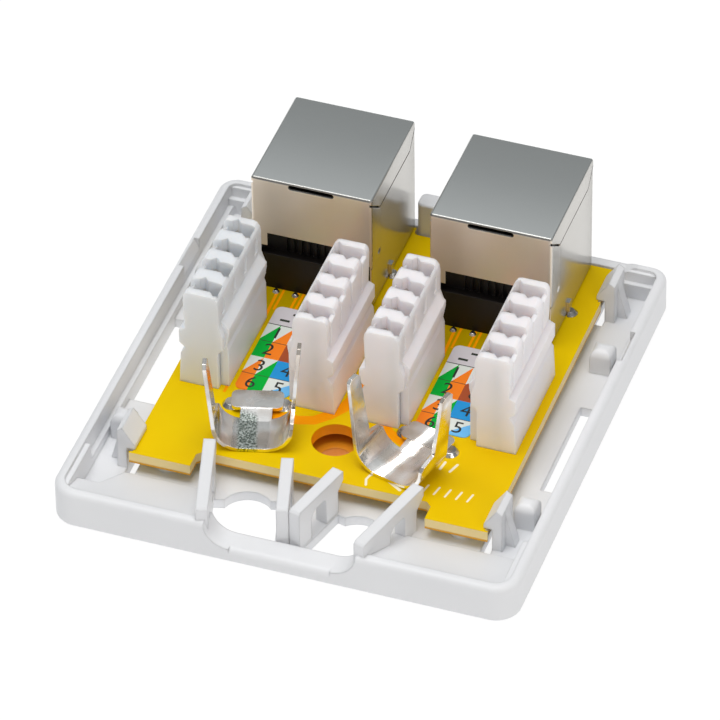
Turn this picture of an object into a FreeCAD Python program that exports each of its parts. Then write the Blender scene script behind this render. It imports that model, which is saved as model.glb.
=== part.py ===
import FreeCAD, Part

import math
import os

Vector = FreeCAD.Vector

# Frame: +X to the right, +Y to the rear wall that the sockets face, +Z up.
# The origin is the centre of the underside. Lengths are in millimetres.

# Base tray
FLOOR = 1.4
TRAY_HEIGHT = 5.4
WALL = 1.3
FRONT_CORNER = 3.3
REAR_CORNER = 2.4
REAR_BAY_CORNER = 1.2
RIM_ROUND_OUTER = 0.8
RIM_ROUND_INNER = 0.35
FOOT_ROUND = 0.5
LEDGE_WIDTH = 0.75
LEDGE_HEIGHT = 2.6
FRONT_PAD_LENGTH = 10.0
REAR_LEDGE_HEIGHT = 3.6
REAR_LEDGE_WIDTH = 1.3
REAR_PAD_WIDTH = 0.55
CATCH_FROM_REAR = 13.4
CATCH_LENGTH = 5.7
CATCH_DEPTH = 0.7
CATCH_DROP = 1.6
SIDE_BAY = 6.85
CABLE_BAY = 13.25

# Rear wall
REAR_WALL_HEIGHT = 4.7
REAR_DIP_HALF_WIDTH = 24.5
REAR_DIP_RAMP = 1.6
DIVIDER_WIDTH = 6.4
DIVIDER_HEIGHT = 9.5
DIVIDER_DEPTH = 2.6
DIVIDER_ROUND = 0.8

# Front lip where the cables enter
LIP_HEIGHT = 2.15
LIP_DEPTH = 3.3
LIP_HALF_WIDTH = 9.9
LIP_RADIUS = 3.3
LIP_EDGE_ROUND = 0.9

# Cable channels and their fins
CHANNEL_ANGLE = 15.4
CHANNEL_WIDTH = 8.36
FIN_THICKNESS = 1.55
FIN_TOP = 7.3
FIN_SETBACK = 0.7
FIN_CLEARANCE = 0.25
FIN_NOSE = 0.35
FIN_END_HEIGHT = 1.3
V_FIN_SETBACK = 3.7
V_FIN_FRONT_X = 0.78
V_FIN_SHORTER = 0.35
ARCH_FROM_FRONT = 6.2
ARCH_LENGTH = 3.1
ARCH_TOP = 5.6
ARCH_BEVEL = 0.9
REAR_POST_DEPTH = 2.5

# Cable holes in the floor
HOLE_FLAT_FROM_LIP = 7.0
SCALLOP_FROM_LIP = 5.3
SCALLOP_RADIUS = 3.35
HOLE_SIDE_GAP = 0.25
HOLE_SLOT_REACH = 6.95
HOLE_SLOT_FROM_LIP = 3.9

# Ramps behind the front wall
RAMP_TOP = 5.0
RAMP_LENGTH = 8.3
RAMP_STEP = 0.6
LEFT_RAMP_GAP_FRONT = 2.9
LEFT_RAMP_GAP_END = 5.0
LEFT_RAMP_GAP_REAR = 0.2

# Board clips and cover posts
CLIP_GAP = 0.45
CLIP_THICKNESS = 1.3
CLIP_WIDTH = 4.2
CLIP_TOP = 7.8
CLIP_APEX = 0.55
CLIP_REACH = 1.1
CLIP_TIP = 0.6
CLIP_SEAT_GAP = 0.12
CLIP_RIB = 1.3
CLIP_RIB_WIDTH = 1.6
CLIP_FRONT_Y = 2.65
CLIP_REAR_Y = 4.3
CLIP_WINDOW_INSET = 1.25
CLIP_WINDOW_LONGER = 1.1
POST_WIDTH = 2.8
POST_DEPTH = 2.6
POST_TOP = 5.0
POST_FROM_BOARD = 3.05
POST_FRONT_Y = 6.6
POST_REAR_Y = 15.3
POST_ROUND = 1.1

# Side windows and board standoffs
WINDOW_LENGTH = 16.5
WINDOW_AHEAD = 1.9
RIGHT_WINDOW_WIDTH = 2.1
LEFT_WINDOW_WIDTH = 4.9
STANDOFF_HEIGHT = 1.6
STANDOFF_RADIUS = 1.5
STANDOFF_INSET = 4.2
WALL_SCREW_RADIUS = 2.1

# Circuit board
BOARD_THICKNESS = 1.6
BOARD_CLEARANCE = 0.3
BOARD_MARGIN = 1.275
BOARD_RECESS = 3.0
RECESS_HALF_WIDTH = 15.4
RECESS_CORNER = 0.7
CLIP_NOTCH_DEPTH = 0.4
CLIP_NOTCH_ROOM = 0.25
DIVIDER_ROOM = 0.3
SCREW_ACCESS_RADIUS = 3.0
SCREW_X = 0.15
SCREW_FROM_CLAMP = 5.4

# Ports: two jacks side by side, each with a pair of terminal blocks
PORT_PITCH = 23.9
PORT_SHIFT = 0.25
JACK_WIDTH = 16.2
JACK_DEPTH = 17.2
JACK_HEIGHT = 17.8
JACK_TO_BLOCK = 4.7
SHEET = 0.3
SHELL_GAP = 0.12
SHELL_FOOT_GAP = 0.25
SHELL_FRONT_BOTTOM = 7.0
SHELL_NOTCH_HEIGHT = 2.05
SHELL_NOTCH_INSET = 2.1
SHELL_SLOT_WIDTH = 6.1
SHELL_SLOT_HEIGHT = 0.7
SHELL_SLOT_DROP = 0.2
SHELL_BEND = 0.35
SHELL_TAB_WIDTH = 0.9
SHELL_TAB_FROM_FRONT = 7.4
SHELL_TAB_HEIGHT = 2.0
SHELL_TAB_OUTSIDE = 0.2
SHELL_REAR_FRAME = 1.6
FOLD_PROUD = 0.12
FOLD_FRONT_WIDTH = 3.6
FOLD_FRONT_LENGTH = 11.2
FOLD_TOP_HEIGHT = 3.45
FOLD_TOP_KINK = 2.2
FOLD_TOP_END = 1.0
SEAM_WIDTH = 0.2
SEAM_DEPTH = 0.2
MITRE_GAP = 0.35
DIMPLE_FROM_FRONT = 2.8
DIMPLE_FROM_TOP = 10.1
DIMPLE_RADIUS = 0.55

# Socket inside each jack
SOCKET_WIDTH = 11.9
SOCKET_HEIGHT = 6.9
SOCKET_DEPTH = 13.4
SOCKET_BOTTOM = 6.8
LATCH_WIDTH = 6.2
LATCH_HEIGHT = 2.6
INSERT_FOOT_HEIGHT = 5.6
INSERT_FOOT_DEPTH = 1.15
INSERT_BASE_BEHIND = 0.6
INSERT_BASE_HEIGHT = 3.0
INSERT_PLATE = 1.4
INSERT_CAP_REACH = 10.4
INSERT_CAP_THICKNESS = 1.5
INSERT_CAP_HALF = 5.4
INSERT_GAP = 0.1
WIRE_COUNT = 8
WIRE_PITCH = 1.02
WIRE_WIDTH = 0.42
WIRE_THICKNESS = 0.35
WIRE_GROOVE = 0.1
WIRE_ROW_GAP = 2.54
WIRE_JOG_HEIGHT = 1.7
WIRE_NOSE = 0.9
WIRE_REACH = 7.2
WIRE_NOSE_DROP = 1.2
WIRE_END_REACH = 1.2
WIRE_DROP = 3.9
COMB_WIDTH = 0.5
COMB_DEPTH = 0.3
PEG_RADIUS = 0.9
PEG_FROM_FRONT = 9.5
PEG_X = 5.7
PEG_GAP = 0.1

# Terminal blocks
BLOCK_ROW_GAP = 15.45
BLOCK_BASE_WIDTH = 5.17
BLOCK_HEIGHT = 14.9
BLOCK_TO_CLAMP = 9.9
SLOT_COUNT = 4
SLOT_PITCH = 4.0
SLOT_WIDTH = 1.9
SLOT_DEPTH = 4.7
BASE_TOP = 4.8
BASE_DRAFT = 0.25
NECK = 0.9
NECK_RISE = 1.0
WING_LOW = 6.5
WING_HIGH = 8.5
WING_OUT_RIGHT = 0.08
WING_OUT_LEFT = 0.75
WING_SLOPE = 0.45
CREST_LEFT = 2.82
CREST_RIGHT = 1.85
CREST_FOOT_LEFT = 1.2
LEFT_SHOULDER = 0.95
LEFT_SHOULDER_HEIGHT = 1.5
RIGHT_SHOULDER = 0.6
RIGHT_SHOULDER_HEIGHT = 1.2
FLANGE_WIDTH = 1.1
FLANGE_SETBACK = 0.95
FLANGE_WING = 1.25
FLANGE_WING_HEIGHT = 9.3
SLOT_WALL_LEFT = 0.42
SLOT_WALL_RIGHT = 0.6
SLOT_WALL_DROP_LEFT = 0.45
SLOT_WALL_DROP_RIGHT = 1.1
SLIT_LENGTH = 3.7
SLIT_WIDTH = 0.75
SLIT_ANGLE = 135
BLOCK_SLIT_X = -1.0
BLOCK_SHIFT = -0.15
GROOVE_DEPTH = 0.4
GROOVE_LEFT_WIDTH = 1.1
GROOVE_RIGHT_WIDTH = 0.5
GROOVE_RISE = 0.6

# Forked contacts in the terminal blocks
FORK_WIDTH = 3.3
FORK_THICKNESS = 0.4
FORK_TOP = 13.2
FORK_GAP = 0.45
FORK_GAP_DEPTH = 5.0
FORK_MOUTH = 1.8
TAIL_WIDTH = 0.6
TAIL_LENGTH = 2.7
TAIL_HOLE_GAP = 0.12

# Shield clamps
CLAMP_INWARD = 0.25
CLAMP_SHEET = 0.5
CLAMP_FLAT_HALF = 1.5
CLAMP_BEND_RADIUS = 3.1
CLAMP_LEAN = 5.0
CLAMP_LENGTH = 5.7
CLAMP_ARM_TOP = 13.7
CLAMP_ARM_ROOT = 3.0
CLAMP_ARM_TIP = 1.7
CLAMP_ARM_FRONT_WALL = 3.3
CLAMP_ARM_REAR_WALL = 4.4
CLAMP_TONGUE_HALF = 2.0
CLAMP_HEAD_START = 7.3
CLAMP_HEAD_END = 10.6
CLAMP_HEAD_HALF = 3.3
CLAMP_TO_EDGE = 4.9
CLAMP_SEAT = 0.05
CLAMP_HEAD_LIFT = 0.95
CLAMP_LEG_WIDTH = 1.6
CLAMP_BLOB_FOOT = 1.2
CLAMP_BLOB_TOP = 0.8

# Wiring labels
LABEL_WIDTH = 7.2
LABEL_LENGTH = 16.6
LABEL_THICKNESS = 0.12
LABEL_CORNER = 0.9
LABEL_FORWARD = 1.2

# Solder
SOLDER_RADIUS = 0.95
SOLDER_HEIGHT = 0.8
TOP_SOLDER_HEIGHT = 0.5
UNDER_SOLDER_HEIGHT = 0.68
FRONT_JOINTS = (-4.8, -2.2)
FRONT_JOINT_RADIUS = 0.5
FRONT_JOINT_HEIGHT = 0.35

# Places worked out from the sizes
SIDES = (("left", -1), ("right", 1))
BOARD_BOTTOM = FLOOR + STANDOFF_HEIGHT
BOARD_TOP = BOARD_BOTTOM + BOARD_THICKNESS
BLOCK_LENGTH = SLOT_COUNT * SLOT_PITCH
BOARD_HALF = (PORT_PITCH + BLOCK_ROW_GAP + BLOCK_BASE_WIDTH) / 2 + BOARD_MARGIN
TRAY_HALF = BOARD_HALF + SIDE_BAY
TRAY_DEPTH = (
    WALL + BOARD_CLEARANCE + JACK_DEPTH + JACK_TO_BLOCK + BLOCK_LENGTH + BLOCK_TO_CLAMP
    + CLAMP_TO_EDGE - BOARD_RECESS + FIN_CLEARANCE + CABLE_BAY
)
REAR = TRAY_DEPTH / 2
FRONT = -REAR
BOARD_REAR = REAR - WALL - BOARD_CLEARANCE
JACK_FRONT = BOARD_REAR - JACK_DEPTH
BLOCK_REAR = JACK_FRONT - JACK_TO_BLOCK
BLOCK_MIDDLE = BLOCK_REAR - BLOCK_LENGTH / 2
BLOCK_FRONT = BLOCK_REAR - BLOCK_LENGTH
CLAMP_FRONT = BLOCK_FRONT - BLOCK_TO_CLAMP
BOARD_FRONT = CLAMP_FRONT - CLAMP_TO_EDGE
RECESS_FRONT = BOARD_FRONT + BOARD_RECESS
FIN_REAR = RECESS_FRONT - FIN_CLEARANCE
LIP_REAR = FRONT + LIP_DEPTH
WALL_INSIDE = TRAY_HALF - WALL
LEDGE_INSIDE = WALL_INSIDE - LEDGE_WIDTH
CLIP_INSIDE = BOARD_HALF + CLIP_GAP
CLIP_ROWS = (BOARD_FRONT + CLIP_FRONT_Y, BOARD_REAR - CLIP_REAR_Y)
SCREW_Y = CLAMP_FRONT + SCREW_FROM_CLAMP
SHELL_TOP = BOARD_TOP + JACK_HEIGHT
HOUSING_HALF = JACK_WIDTH / 2 - SHEET - SHELL_GAP
HOUSING_TOP = SHELL_TOP - SHEET - SHELL_GAP
HOUSING_REAR = BOARD_REAR - SHEET - SHELL_GAP
INSERT_FRONT = JACK_FRONT + SHELL_GAP
PLATE_FRONT = INSERT_FRONT + INSERT_FOOT_DEPTH
PLATE_REAR = PLATE_FRONT + INSERT_PLATE
WIRE_Y = (PLATE_FRONT + PLATE_REAR) / 2
SOCKET_FRONT = BOARD_REAR - SOCKET_DEPTH
CAP_REAR = SOCKET_FRONT + INSERT_CAP_REACH
PEG_Y = JACK_FRONT + PEG_FROM_FRONT
WIRE_ROOF = HOUSING_TOP - INSERT_CAP_THICKNESS - INSERT_GAP - WIRE_THICKNESS
SIN_CHANNEL = math.sin(math.radians(CHANNEL_ANGLE))
COS_CHANNEL = math.cos(math.radians(CHANNEL_ANGLE))


def box(x0, x1, y0, y1, z0, z1):
    return Part.makeBox(x1 - x0, y1 - y0, z1 - z0, Vector(x0, y0, z0))


def drum(radius, x, y, z0, z1):
    return Part.makeCylinder(radius, z1 - z0, Vector(x, y, z0))


def extrude(points, direction):
    wire = Part.makePolygon(points + [points[0]])
    return Part.Face(wire).extrude(direction)


def plan(points, z0, z1):
    return extrude([Vector(x, y, z0) for x, y in points], Vector(0, 0, z1 - z0))


def section_xz(points, y0, y1):
    return extrude([Vector(x, y0, z) for x, z in points], Vector(0, y1 - y0, 0))


def section_yz(points, x0, x1):
    return extrude([Vector(x0, y, z) for y, z in points], Vector(x1 - x0, 0, 0))


def fuse_all(shapes):
    joined = shapes[0]
    for shape in shapes[1:]:
        joined = joined.fuse(shape)
    return joined


def fuse(shapes):
    return fuse_all(shapes).removeSplitter()


def cut(shape, tools):
    for tool in tools:
        shape = shape.cut(tool)
    return shape.removeSplitter()


def turned(shape, angle, x, y, z=0):
    moved = shape.copy()
    moved.rotate(Vector(0, 0, 0), Vector(0, 0, 1), angle)
    moved.translate(Vector(x, y, z))
    return moved


def shifted(shape, x, y=0, z=0):
    moved = shape.copy()
    moved.translate(Vector(x, y, z))
    return moved


def mirrored(shape):
    return shape.mirror(Vector(0, 0, 0), Vector(1, 0, 0))


def upright_edges(shape):
    found = []
    for edge in shape.Edges:
        start, end = edge.Vertexes[0].Point, edge.Vertexes[-1].Point
        if abs(start.x - end.x) < 1e-6 and abs(start.y - end.y) < 1e-6:
            found.append(edge)
    return found


def edges_at_height(shape, z):
    return [e for e in shape.Edges if abs(e.BoundBox.ZMin - z) < 1e-6 and abs(e.BoundBox.ZMax - z) < 1e-6]


def rounded_box(x0, x1, y0, y1, z0, z1, radius):
    shape = box(x0, x1, y0, y1, z0, z1)
    return shape.makeFillet(radius, upright_edges(shape))


def cornered_box(x0, x1, y0, y1, z0, z1, front_radius, rear_radius):
    """A block whose front and rear upright edges are rounded by their own radii."""
    shape = box(x0, x1, y0, y1, z0, z1)
    middle = (y0 + y1) / 2
    shape = shape.makeFillet(front_radius, [e for e in upright_edges(shape) if e.BoundBox.YMax < middle])
    return shape.makeFillet(rear_radius, [e for e in upright_edges(shape) if e.BoundBox.YMin > middle])


def port_x(side):
    return side * PORT_PITCH / 2 + PORT_SHIFT


# Cable channels: straight lanes that fan out towards the rear

def channel_x(y):
    """X of a channel's centre line at y, on the right-hand side."""
    half_step = (CHANNEL_WIDTH + FIN_THICKNESS) / 2
    start_x = V_FIN_FRONT_X + half_step * COS_CHANNEL
    start_y = FRONT + V_FIN_SETBACK - half_step * SIN_CHANNEL
    return start_x + (y - start_y) * SIN_CHANNEL / COS_CHANNEL


def outer_fin_x(y):
    start_x = V_FIN_FRONT_X + (CHANNEL_WIDTH + FIN_THICKNESS) / COS_CHANNEL
    return start_x + (y - FRONT - V_FIN_SETBACK) * SIN_CHANNEL / COS_CHANNEL


def fin(front_x, front_y, rear_y, front_bottom):
    """One cable fin, leaning to the right as it goes back."""
    length = (rear_y - front_y) / COS_CHANNEL
    arch_start = (FRONT + ARCH_FROM_FRONT - front_y) / COS_CHANNEL
    arch_end = arch_start + ARCH_LENGTH / COS_CHANNEL
    post_end = arch_end + REAR_POST_DEPTH / COS_CHANNEL
    undercut = FIN_TOP - FIN_END_HEIGHT
    outline = [
        (0, front_bottom), (0, FIN_TOP - FIN_NOSE), (FIN_NOSE, FIN_TOP), (length, FIN_TOP),
        (length, undercut), (post_end, undercut - (length - post_end)), (post_end, 0), (0, 0),
    ]
    half = FIN_THICKNESS / 2
    body = section_yz(outline[:-1] + ([(0, 0)] if front_bottom > 0 else []), -half, half)
    arch = [
        (arch_start, 0), (arch_start, ARCH_TOP - ARCH_BEVEL), (arch_start + ARCH_BEVEL, ARCH_TOP),
        (arch_end - ARCH_BEVEL / 2, ARCH_TOP), (arch_end, ARCH_TOP - ARCH_BEVEL / 2), (arch_end, 0),
    ]
    body = body.cut(section_yz([(u, max(z, FLOOR)) for u, z in arch], -FIN_THICKNESS, FIN_THICKNESS))
    return turned(body, -CHANNEL_ANGLE, front_x, front_y)


def outer_fin():
    front_y = FRONT + FIN_SETBACK
    return fin(outer_fin_x(front_y), front_y, FIN_REAR, FLOOR)


def v_fin():
    whole = fin(V_FIN_FRONT_X, FRONT + V_FIN_SETBACK, FIN_REAR - V_FIN_SHORTER, FLOOR)
    return whole.common(box(0, TRAY_HALF, FRONT, REAR, 0, TRAY_HEIGHT + DIVIDER_HEIGHT))


def cable_hole():
    """Right-hand cable hole: a lane with a scalloped rear edge and a slot out under the outer fin."""
    start_x = channel_x(LIP_REAR)
    half = CHANNEL_WIDTH / 2 - HOLE_SIDE_GAP
    lane = box(-half, half, -CHANNEL_WIDTH, HOLE_FLAT_FROM_LIP, -1, BOARD_BOTTOM)
    slot = box(0, HOLE_SLOT_REACH, HOLE_SLOT_FROM_LIP, HOLE_FLAT_FROM_LIP, -1, FLOOR)
    scallop = drum(SCALLOP_RADIUS, 0, SCALLOP_FROM_LIP, -1, BOARD_BOTTOM)
    hole = turned(fuse([lane, scallop, slot]), -CHANNEL_ANGLE, start_x, LIP_REAR)
    return hole.common(box(0, TRAY_HALF, LIP_REAR, 0, -1, BOARD_BOTTOM))


# Base tray

def tray_shell():
    outer = cornered_box(
        -TRAY_HALF, TRAY_HALF, FRONT, REAR, 0, TRAY_HEIGHT, FRONT_CORNER, REAR_CORNER
    )
    outer = outer.makeFillet(RIM_ROUND_OUTER, edges_at_height(outer, TRAY_HEIGHT))
    outer = outer.makeFillet(FOOT_ROUND, edges_at_height(outer, 0))
    bay = cornered_box(
        -WALL_INSIDE, WALL_INSIDE, FRONT + WALL, REAR - WALL,
        LEDGE_HEIGHT, TRAY_HEIGHT + 1, FRONT_CORNER - WALL, REAR_BAY_CORNER,
    )
    well = cornered_box(
        -LEDGE_INSIDE, LEDGE_INSIDE, FRONT + WALL, REAR - WALL - LEDGE_WIDTH,
        FLOOR, TRAY_HEIGHT, FRONT_CORNER - WALL - LEDGE_WIDTH, REAR_BAY_CORNER,
    )
    return cut(outer, [bay, well])


def front_pad():
    """Thicker side wall at the right front corner."""
    pad = box(
        LEDGE_INSIDE, TRAY_HALF, FRONT, FRONT + FRONT_PAD_LENGTH, 0, TRAY_HEIGHT - RIM_ROUND_INNER
    )
    return pad.common(tray_core(WALL / 2, 0))


def rear_pad():
    """Thicker rear wall with a higher ledge at the right rear corner, beside the board."""
    inside = REAR - WALL
    ledge = box(CLIP_INSIDE, TRAY_HALF, inside - REAR_LEDGE_WIDTH, REAR, 0, REAR_LEDGE_HEIGHT)
    thicker = box(CLIP_INSIDE, TRAY_HALF, inside - REAR_PAD_WIDTH, REAR, 0, TRAY_HEIGHT - RIM_ROUND_INNER)
    return ledge.fuse(thicker).common(tray_core(WALL / 2, 0))


def catch_notch():
    """Sloped notch in the right wall's inner edge, where the cover catches."""
    rear = REAR - CATCH_FROM_REAR
    high = TRAY_HEIGHT + CATCH_DROP
    return section_xz(
        [
            (WALL_INSIDE, TRAY_HEIGHT - CATCH_DROP), (WALL_INSIDE + 2 * CATCH_DEPTH, high),
            (WALL_INSIDE, high),
        ],
        rear - CATCH_LENGTH, rear,
    )


def rear_dip():
    low, high = REAR_WALL_HEIGHT, TRAY_HEIGHT + 1
    flat = REAR_DIP_HALF_WIDTH
    ramp = REAR_DIP_RAMP * (high - low) / (TRAY_HEIGHT - low)
    return section_xz(
        [(-flat, low), (flat, low), (flat + ramp, high), (-flat - ramp, high)],
        REAR - WALL - LEDGE_WIDTH, REAR + 1,
    )


def divider():
    """Post in the rear wall between the two sockets."""
    half = DIVIDER_WIDTH / 2
    post = rounded_box(-half, half, REAR - DIVIDER_DEPTH, REAR, FLOOR, DIVIDER_HEIGHT, DIVIDER_ROUND)
    return post.makeFillet(RIM_ROUND_INNER, edges_at_height(post, DIVIDER_HEIGHT))


def lip_cut():
    """Opening in the front wall above the lip, with rounded lower corners."""
    shape = box(
        -LIP_HALF_WIDTH, LIP_HALF_WIDTH, FRONT - 1, LIP_REAR + LIP_DEPTH, LIP_HEIGHT, TRAY_HEIGHT + 3
    )
    corners = [
        edge for edge in edges_at_height(shape, LIP_HEIGHT)
        if edge.BoundBox.YLength > LIP_DEPTH
    ]
    return shape.makeFillet(LIP_RADIUS, corners)


def lip_edge_cut():
    """Rounds the lip's outer top edge."""
    middle_y = FRONT + LIP_EDGE_ROUND
    middle_z = LIP_HEIGHT - LIP_EDGE_ROUND
    half = LIP_HALF_WIDTH - LIP_RADIUS
    corner = box(-half, half, FRONT - 1, middle_y, middle_z, LIP_HEIGHT + 1)
    bar = Part.makeCylinder(LIP_EDGE_ROUND, 2 * half, Vector(-half, middle_y, middle_z), Vector(1, 0, 0))
    return corner.cut(bar)


def lip_shoulders():
    """Solid ground under the curved ends of the lip."""
    reach = LIP_HALF_WIDTH + FIN_THICKNESS
    return box(-reach, reach, FRONT + WALL / 2, LIP_REAR, 0, TRAY_HEIGHT - RIM_ROUND_OUTER)


def tray_core(inset, bottom):
    """The tray's outline, brought in by inset all round."""
    return cornered_box(
        -TRAY_HALF + inset, TRAY_HALF - inset, FRONT + inset, REAR - inset,
        bottom, TRAY_HEIGHT, FRONT_CORNER - inset, REAR_CORNER - inset,
    )


def channel_room():
    """The right-hand channel between its fins, above the floor."""
    half = CHANNEL_WIDTH / 2
    lane = box(-half, half, -CHANNEL_WIDTH, CABLE_BAY, FLOOR, FIN_TOP)
    return turned(lane, -CHANNEL_ANGLE, channel_x(LIP_REAR), LIP_REAR)


def ramp_block(x0, x1):
    """A ramp from the front wall that ends in a small step above the floor."""
    inside = FRONT + WALL
    foot = inside + RAMP_LENGTH
    start = inside - WALL / 2
    outline = [(start, 0), (start, RAMP_TOP), (inside, RAMP_TOP), (foot, FLOOR + RAMP_STEP), (foot, 0)]
    return section_yz(outline, x0, x1)


def ramp_hollow(x0, x1):
    """Space under a ramp, open below, that leaves a skin as thick as the floor."""
    inside = FRONT + WALL
    foot = inside + RAMP_LENGTH
    hollow = section_yz([(inside, -1), (inside, RAMP_TOP - FLOOR), (foot, 0), (foot, -1)], x0, x1)
    return hollow.common(tray_core(WALL, -1))


def right_ramp():
    whole = ramp_block(outer_fin_x(LIP_REAR), WALL_INSIDE)
    return whole.common(tray_core(WALL / 2, 0)).cut(channel_room())


def left_ramp():
    """The left ramp stops short of the side wall along a slanted side."""
    whole = ramp_block(-WALL_INSIDE, -outer_fin_x(LIP_REAR))
    outside = -WALL_INSIDE - 1
    behind = FRONT + WALL + RAMP_LENGTH + 1
    gap_front = FRONT + LEFT_RAMP_GAP_END
    gap = plan(
        [
            (outside, behind), (-BOARD_HALF + LEFT_RAMP_GAP_REAR, behind),
            (-LEDGE_INSIDE + LEFT_RAMP_GAP_FRONT, gap_front), (outside, gap_front),
        ],
        FLOOR, RAMP_TOP + 1,
    )
    return whole.cut(gap).common(tray_core(WALL / 2, 0)).cut(mirrored(channel_room()))


def clip(y):
    """Right-hand board clip at y: a springy stem, a hook over the board and a rib behind."""
    inner = CLIP_INSIDE
    outer = inner + CLIP_THICKNESS
    seat = BOARD_TOP + CLIP_SEAT_GAP
    outline = [
        (inner, 0), (inner, seat), (inner - CLIP_REACH, seat), (inner - CLIP_REACH, seat + CLIP_TIP),
        (inner + CLIP_APEX, CLIP_TOP), (outer, CLIP_TOP - CLIP_APEX), (outer, 0),
    ]
    stem = section_xz(outline, y - CLIP_WIDTH / 2, y + CLIP_WIDTH / 2)
    rib_half = CLIP_RIB_WIDTH / 2
    rib = section_xz(
        [(outer, 0), (outer, CLIP_TOP - CLIP_RIB), (outer + CLIP_RIB, FLOOR), (outer + CLIP_RIB, 0)],
        y - rib_half, y + rib_half,
    )
    return stem.fuse(rib)


def clip_window(y):
    """Opening in the floor under a hook, a little longer than the clip."""
    inner = CLIP_INSIDE
    half = CLIP_WIDTH / 2 + CLIP_WINDOW_LONGER
    return box(inner - CLIP_WINDOW_INSET, inner, y - half, y + half, -1, FLOOR + 1)


def post(y):
    """Right-hand cover post at y, with a rounded top."""
    x = BOARD_HALF + POST_FROM_BOARD
    shape = box(
        x - POST_WIDTH / 2, x + POST_WIDTH / 2, y - POST_DEPTH / 2, y + POST_DEPTH / 2, 0, POST_TOP
    )
    return shape.makeFillet(POST_ROUND, edges_at_height(shape, POST_TOP))


def standoff_places():
    x = BOARD_HALF - STANDOFF_INSET
    corners = [(side * x, y) for _, side in SIDES for y in CLIP_ROWS]
    return corners + [(0, BLOCK_MIDDLE)]


def both_sides(shapes):
    return [shape for one in shapes for shape in (one, mirrored(one))]


def base_tray():
    post_rows = (BOARD_FRONT + POST_FRONT_Y, BOARD_REAR - POST_REAR_Y)
    walls = [tray_shell(), lip_shoulders(), right_ramp(), left_ramp()]
    walls += both_sides([front_pad(), rear_pad()])
    pairs = [outer_fin(), v_fin()] + [clip(y) for y in CLIP_ROWS] + [post(y) for y in post_rows]
    raised = [divider()] + both_sides(pairs)
    raised += [drum(STANDOFF_RADIUS, x, y, 0, BOARD_BOTTOM) for x, y in standoff_places()]
    window_front = BLOCK_FRONT - WINDOW_AHEAD
    window_rear = window_front + WINDOW_LENGTH
    window_x = LEDGE_INSIDE
    removed = both_sides([cable_hole(), catch_notch()] + [clip_window(y) for y in CLIP_ROWS])
    removed += [
        box(window_x - RIGHT_WINDOW_WIDTH, window_x, window_front, window_rear, -1, FLOOR + 1),
        box(-window_x, -window_x + LEFT_WINDOW_WIDTH, window_front, window_rear, -1, FLOOR + 1),
        ramp_hollow(outer_fin_x(FIN_REAR), LEDGE_INSIDE - FLOOR),
        ramp_hollow(-BOARD_HALF + FLOOR, -outer_fin_x(FIN_REAR)),
        drum(WALL_SCREW_RADIUS, SCREW_X, SCREW_Y, -1, BOARD_BOTTOM),
    ]
    tray = cut(fuse(walls), [lip_cut(), lip_edge_cut(), rear_dip()])
    return cut(fuse([tray] + raised), [fuse_all(removed)])


# Circuit board

def clamp_places():
    """Name, angle, x and y of each shield clamp, in line with its cable channel."""
    x = channel_x(CLAMP_FRONT) - CLAMP_INWARD
    return [(name, -side * CHANNEL_ANGLE, side * x, CLAMP_FRONT) for name, side in SIDES]


def clamp_leg(side, gap):
    outer = CLAMP_HEAD_HALF + gap
    inner = CLAMP_HEAD_HALF - CLAMP_SHEET - gap
    middle = (CLAMP_HEAD_START + CLAMP_HEAD_END) / 2
    half = CLAMP_LEG_WIDTH / 2 + gap
    x0, x1 = sorted((side * inner, side * outer))
    low, high = BOARD_BOTTOM - SOLDER_HEIGHT, BOARD_TOP + CLAMP_HEAD_LIFT
    return box(x0, x1, middle - half, middle + half, low, high)


def tail_places():
    """Where the terminal contacts pass through the board."""
    return [
        (row_x + BLOCK_SLIT_X * turn, BLOCK_MIDDLE + offset)
        for _, row_x, turn in block_rows() for offset in slot_offsets()
    ]


def wire_row(index):
    return WIRE_Y + (index % 2) * WIRE_ROW_GAP


def wire_x(index):
    return (index - (WIRE_COUNT - 1) / 2) * WIRE_PITCH


def tab_y():
    return JACK_FRONT + SHELL_TAB_FROM_FRONT


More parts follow.
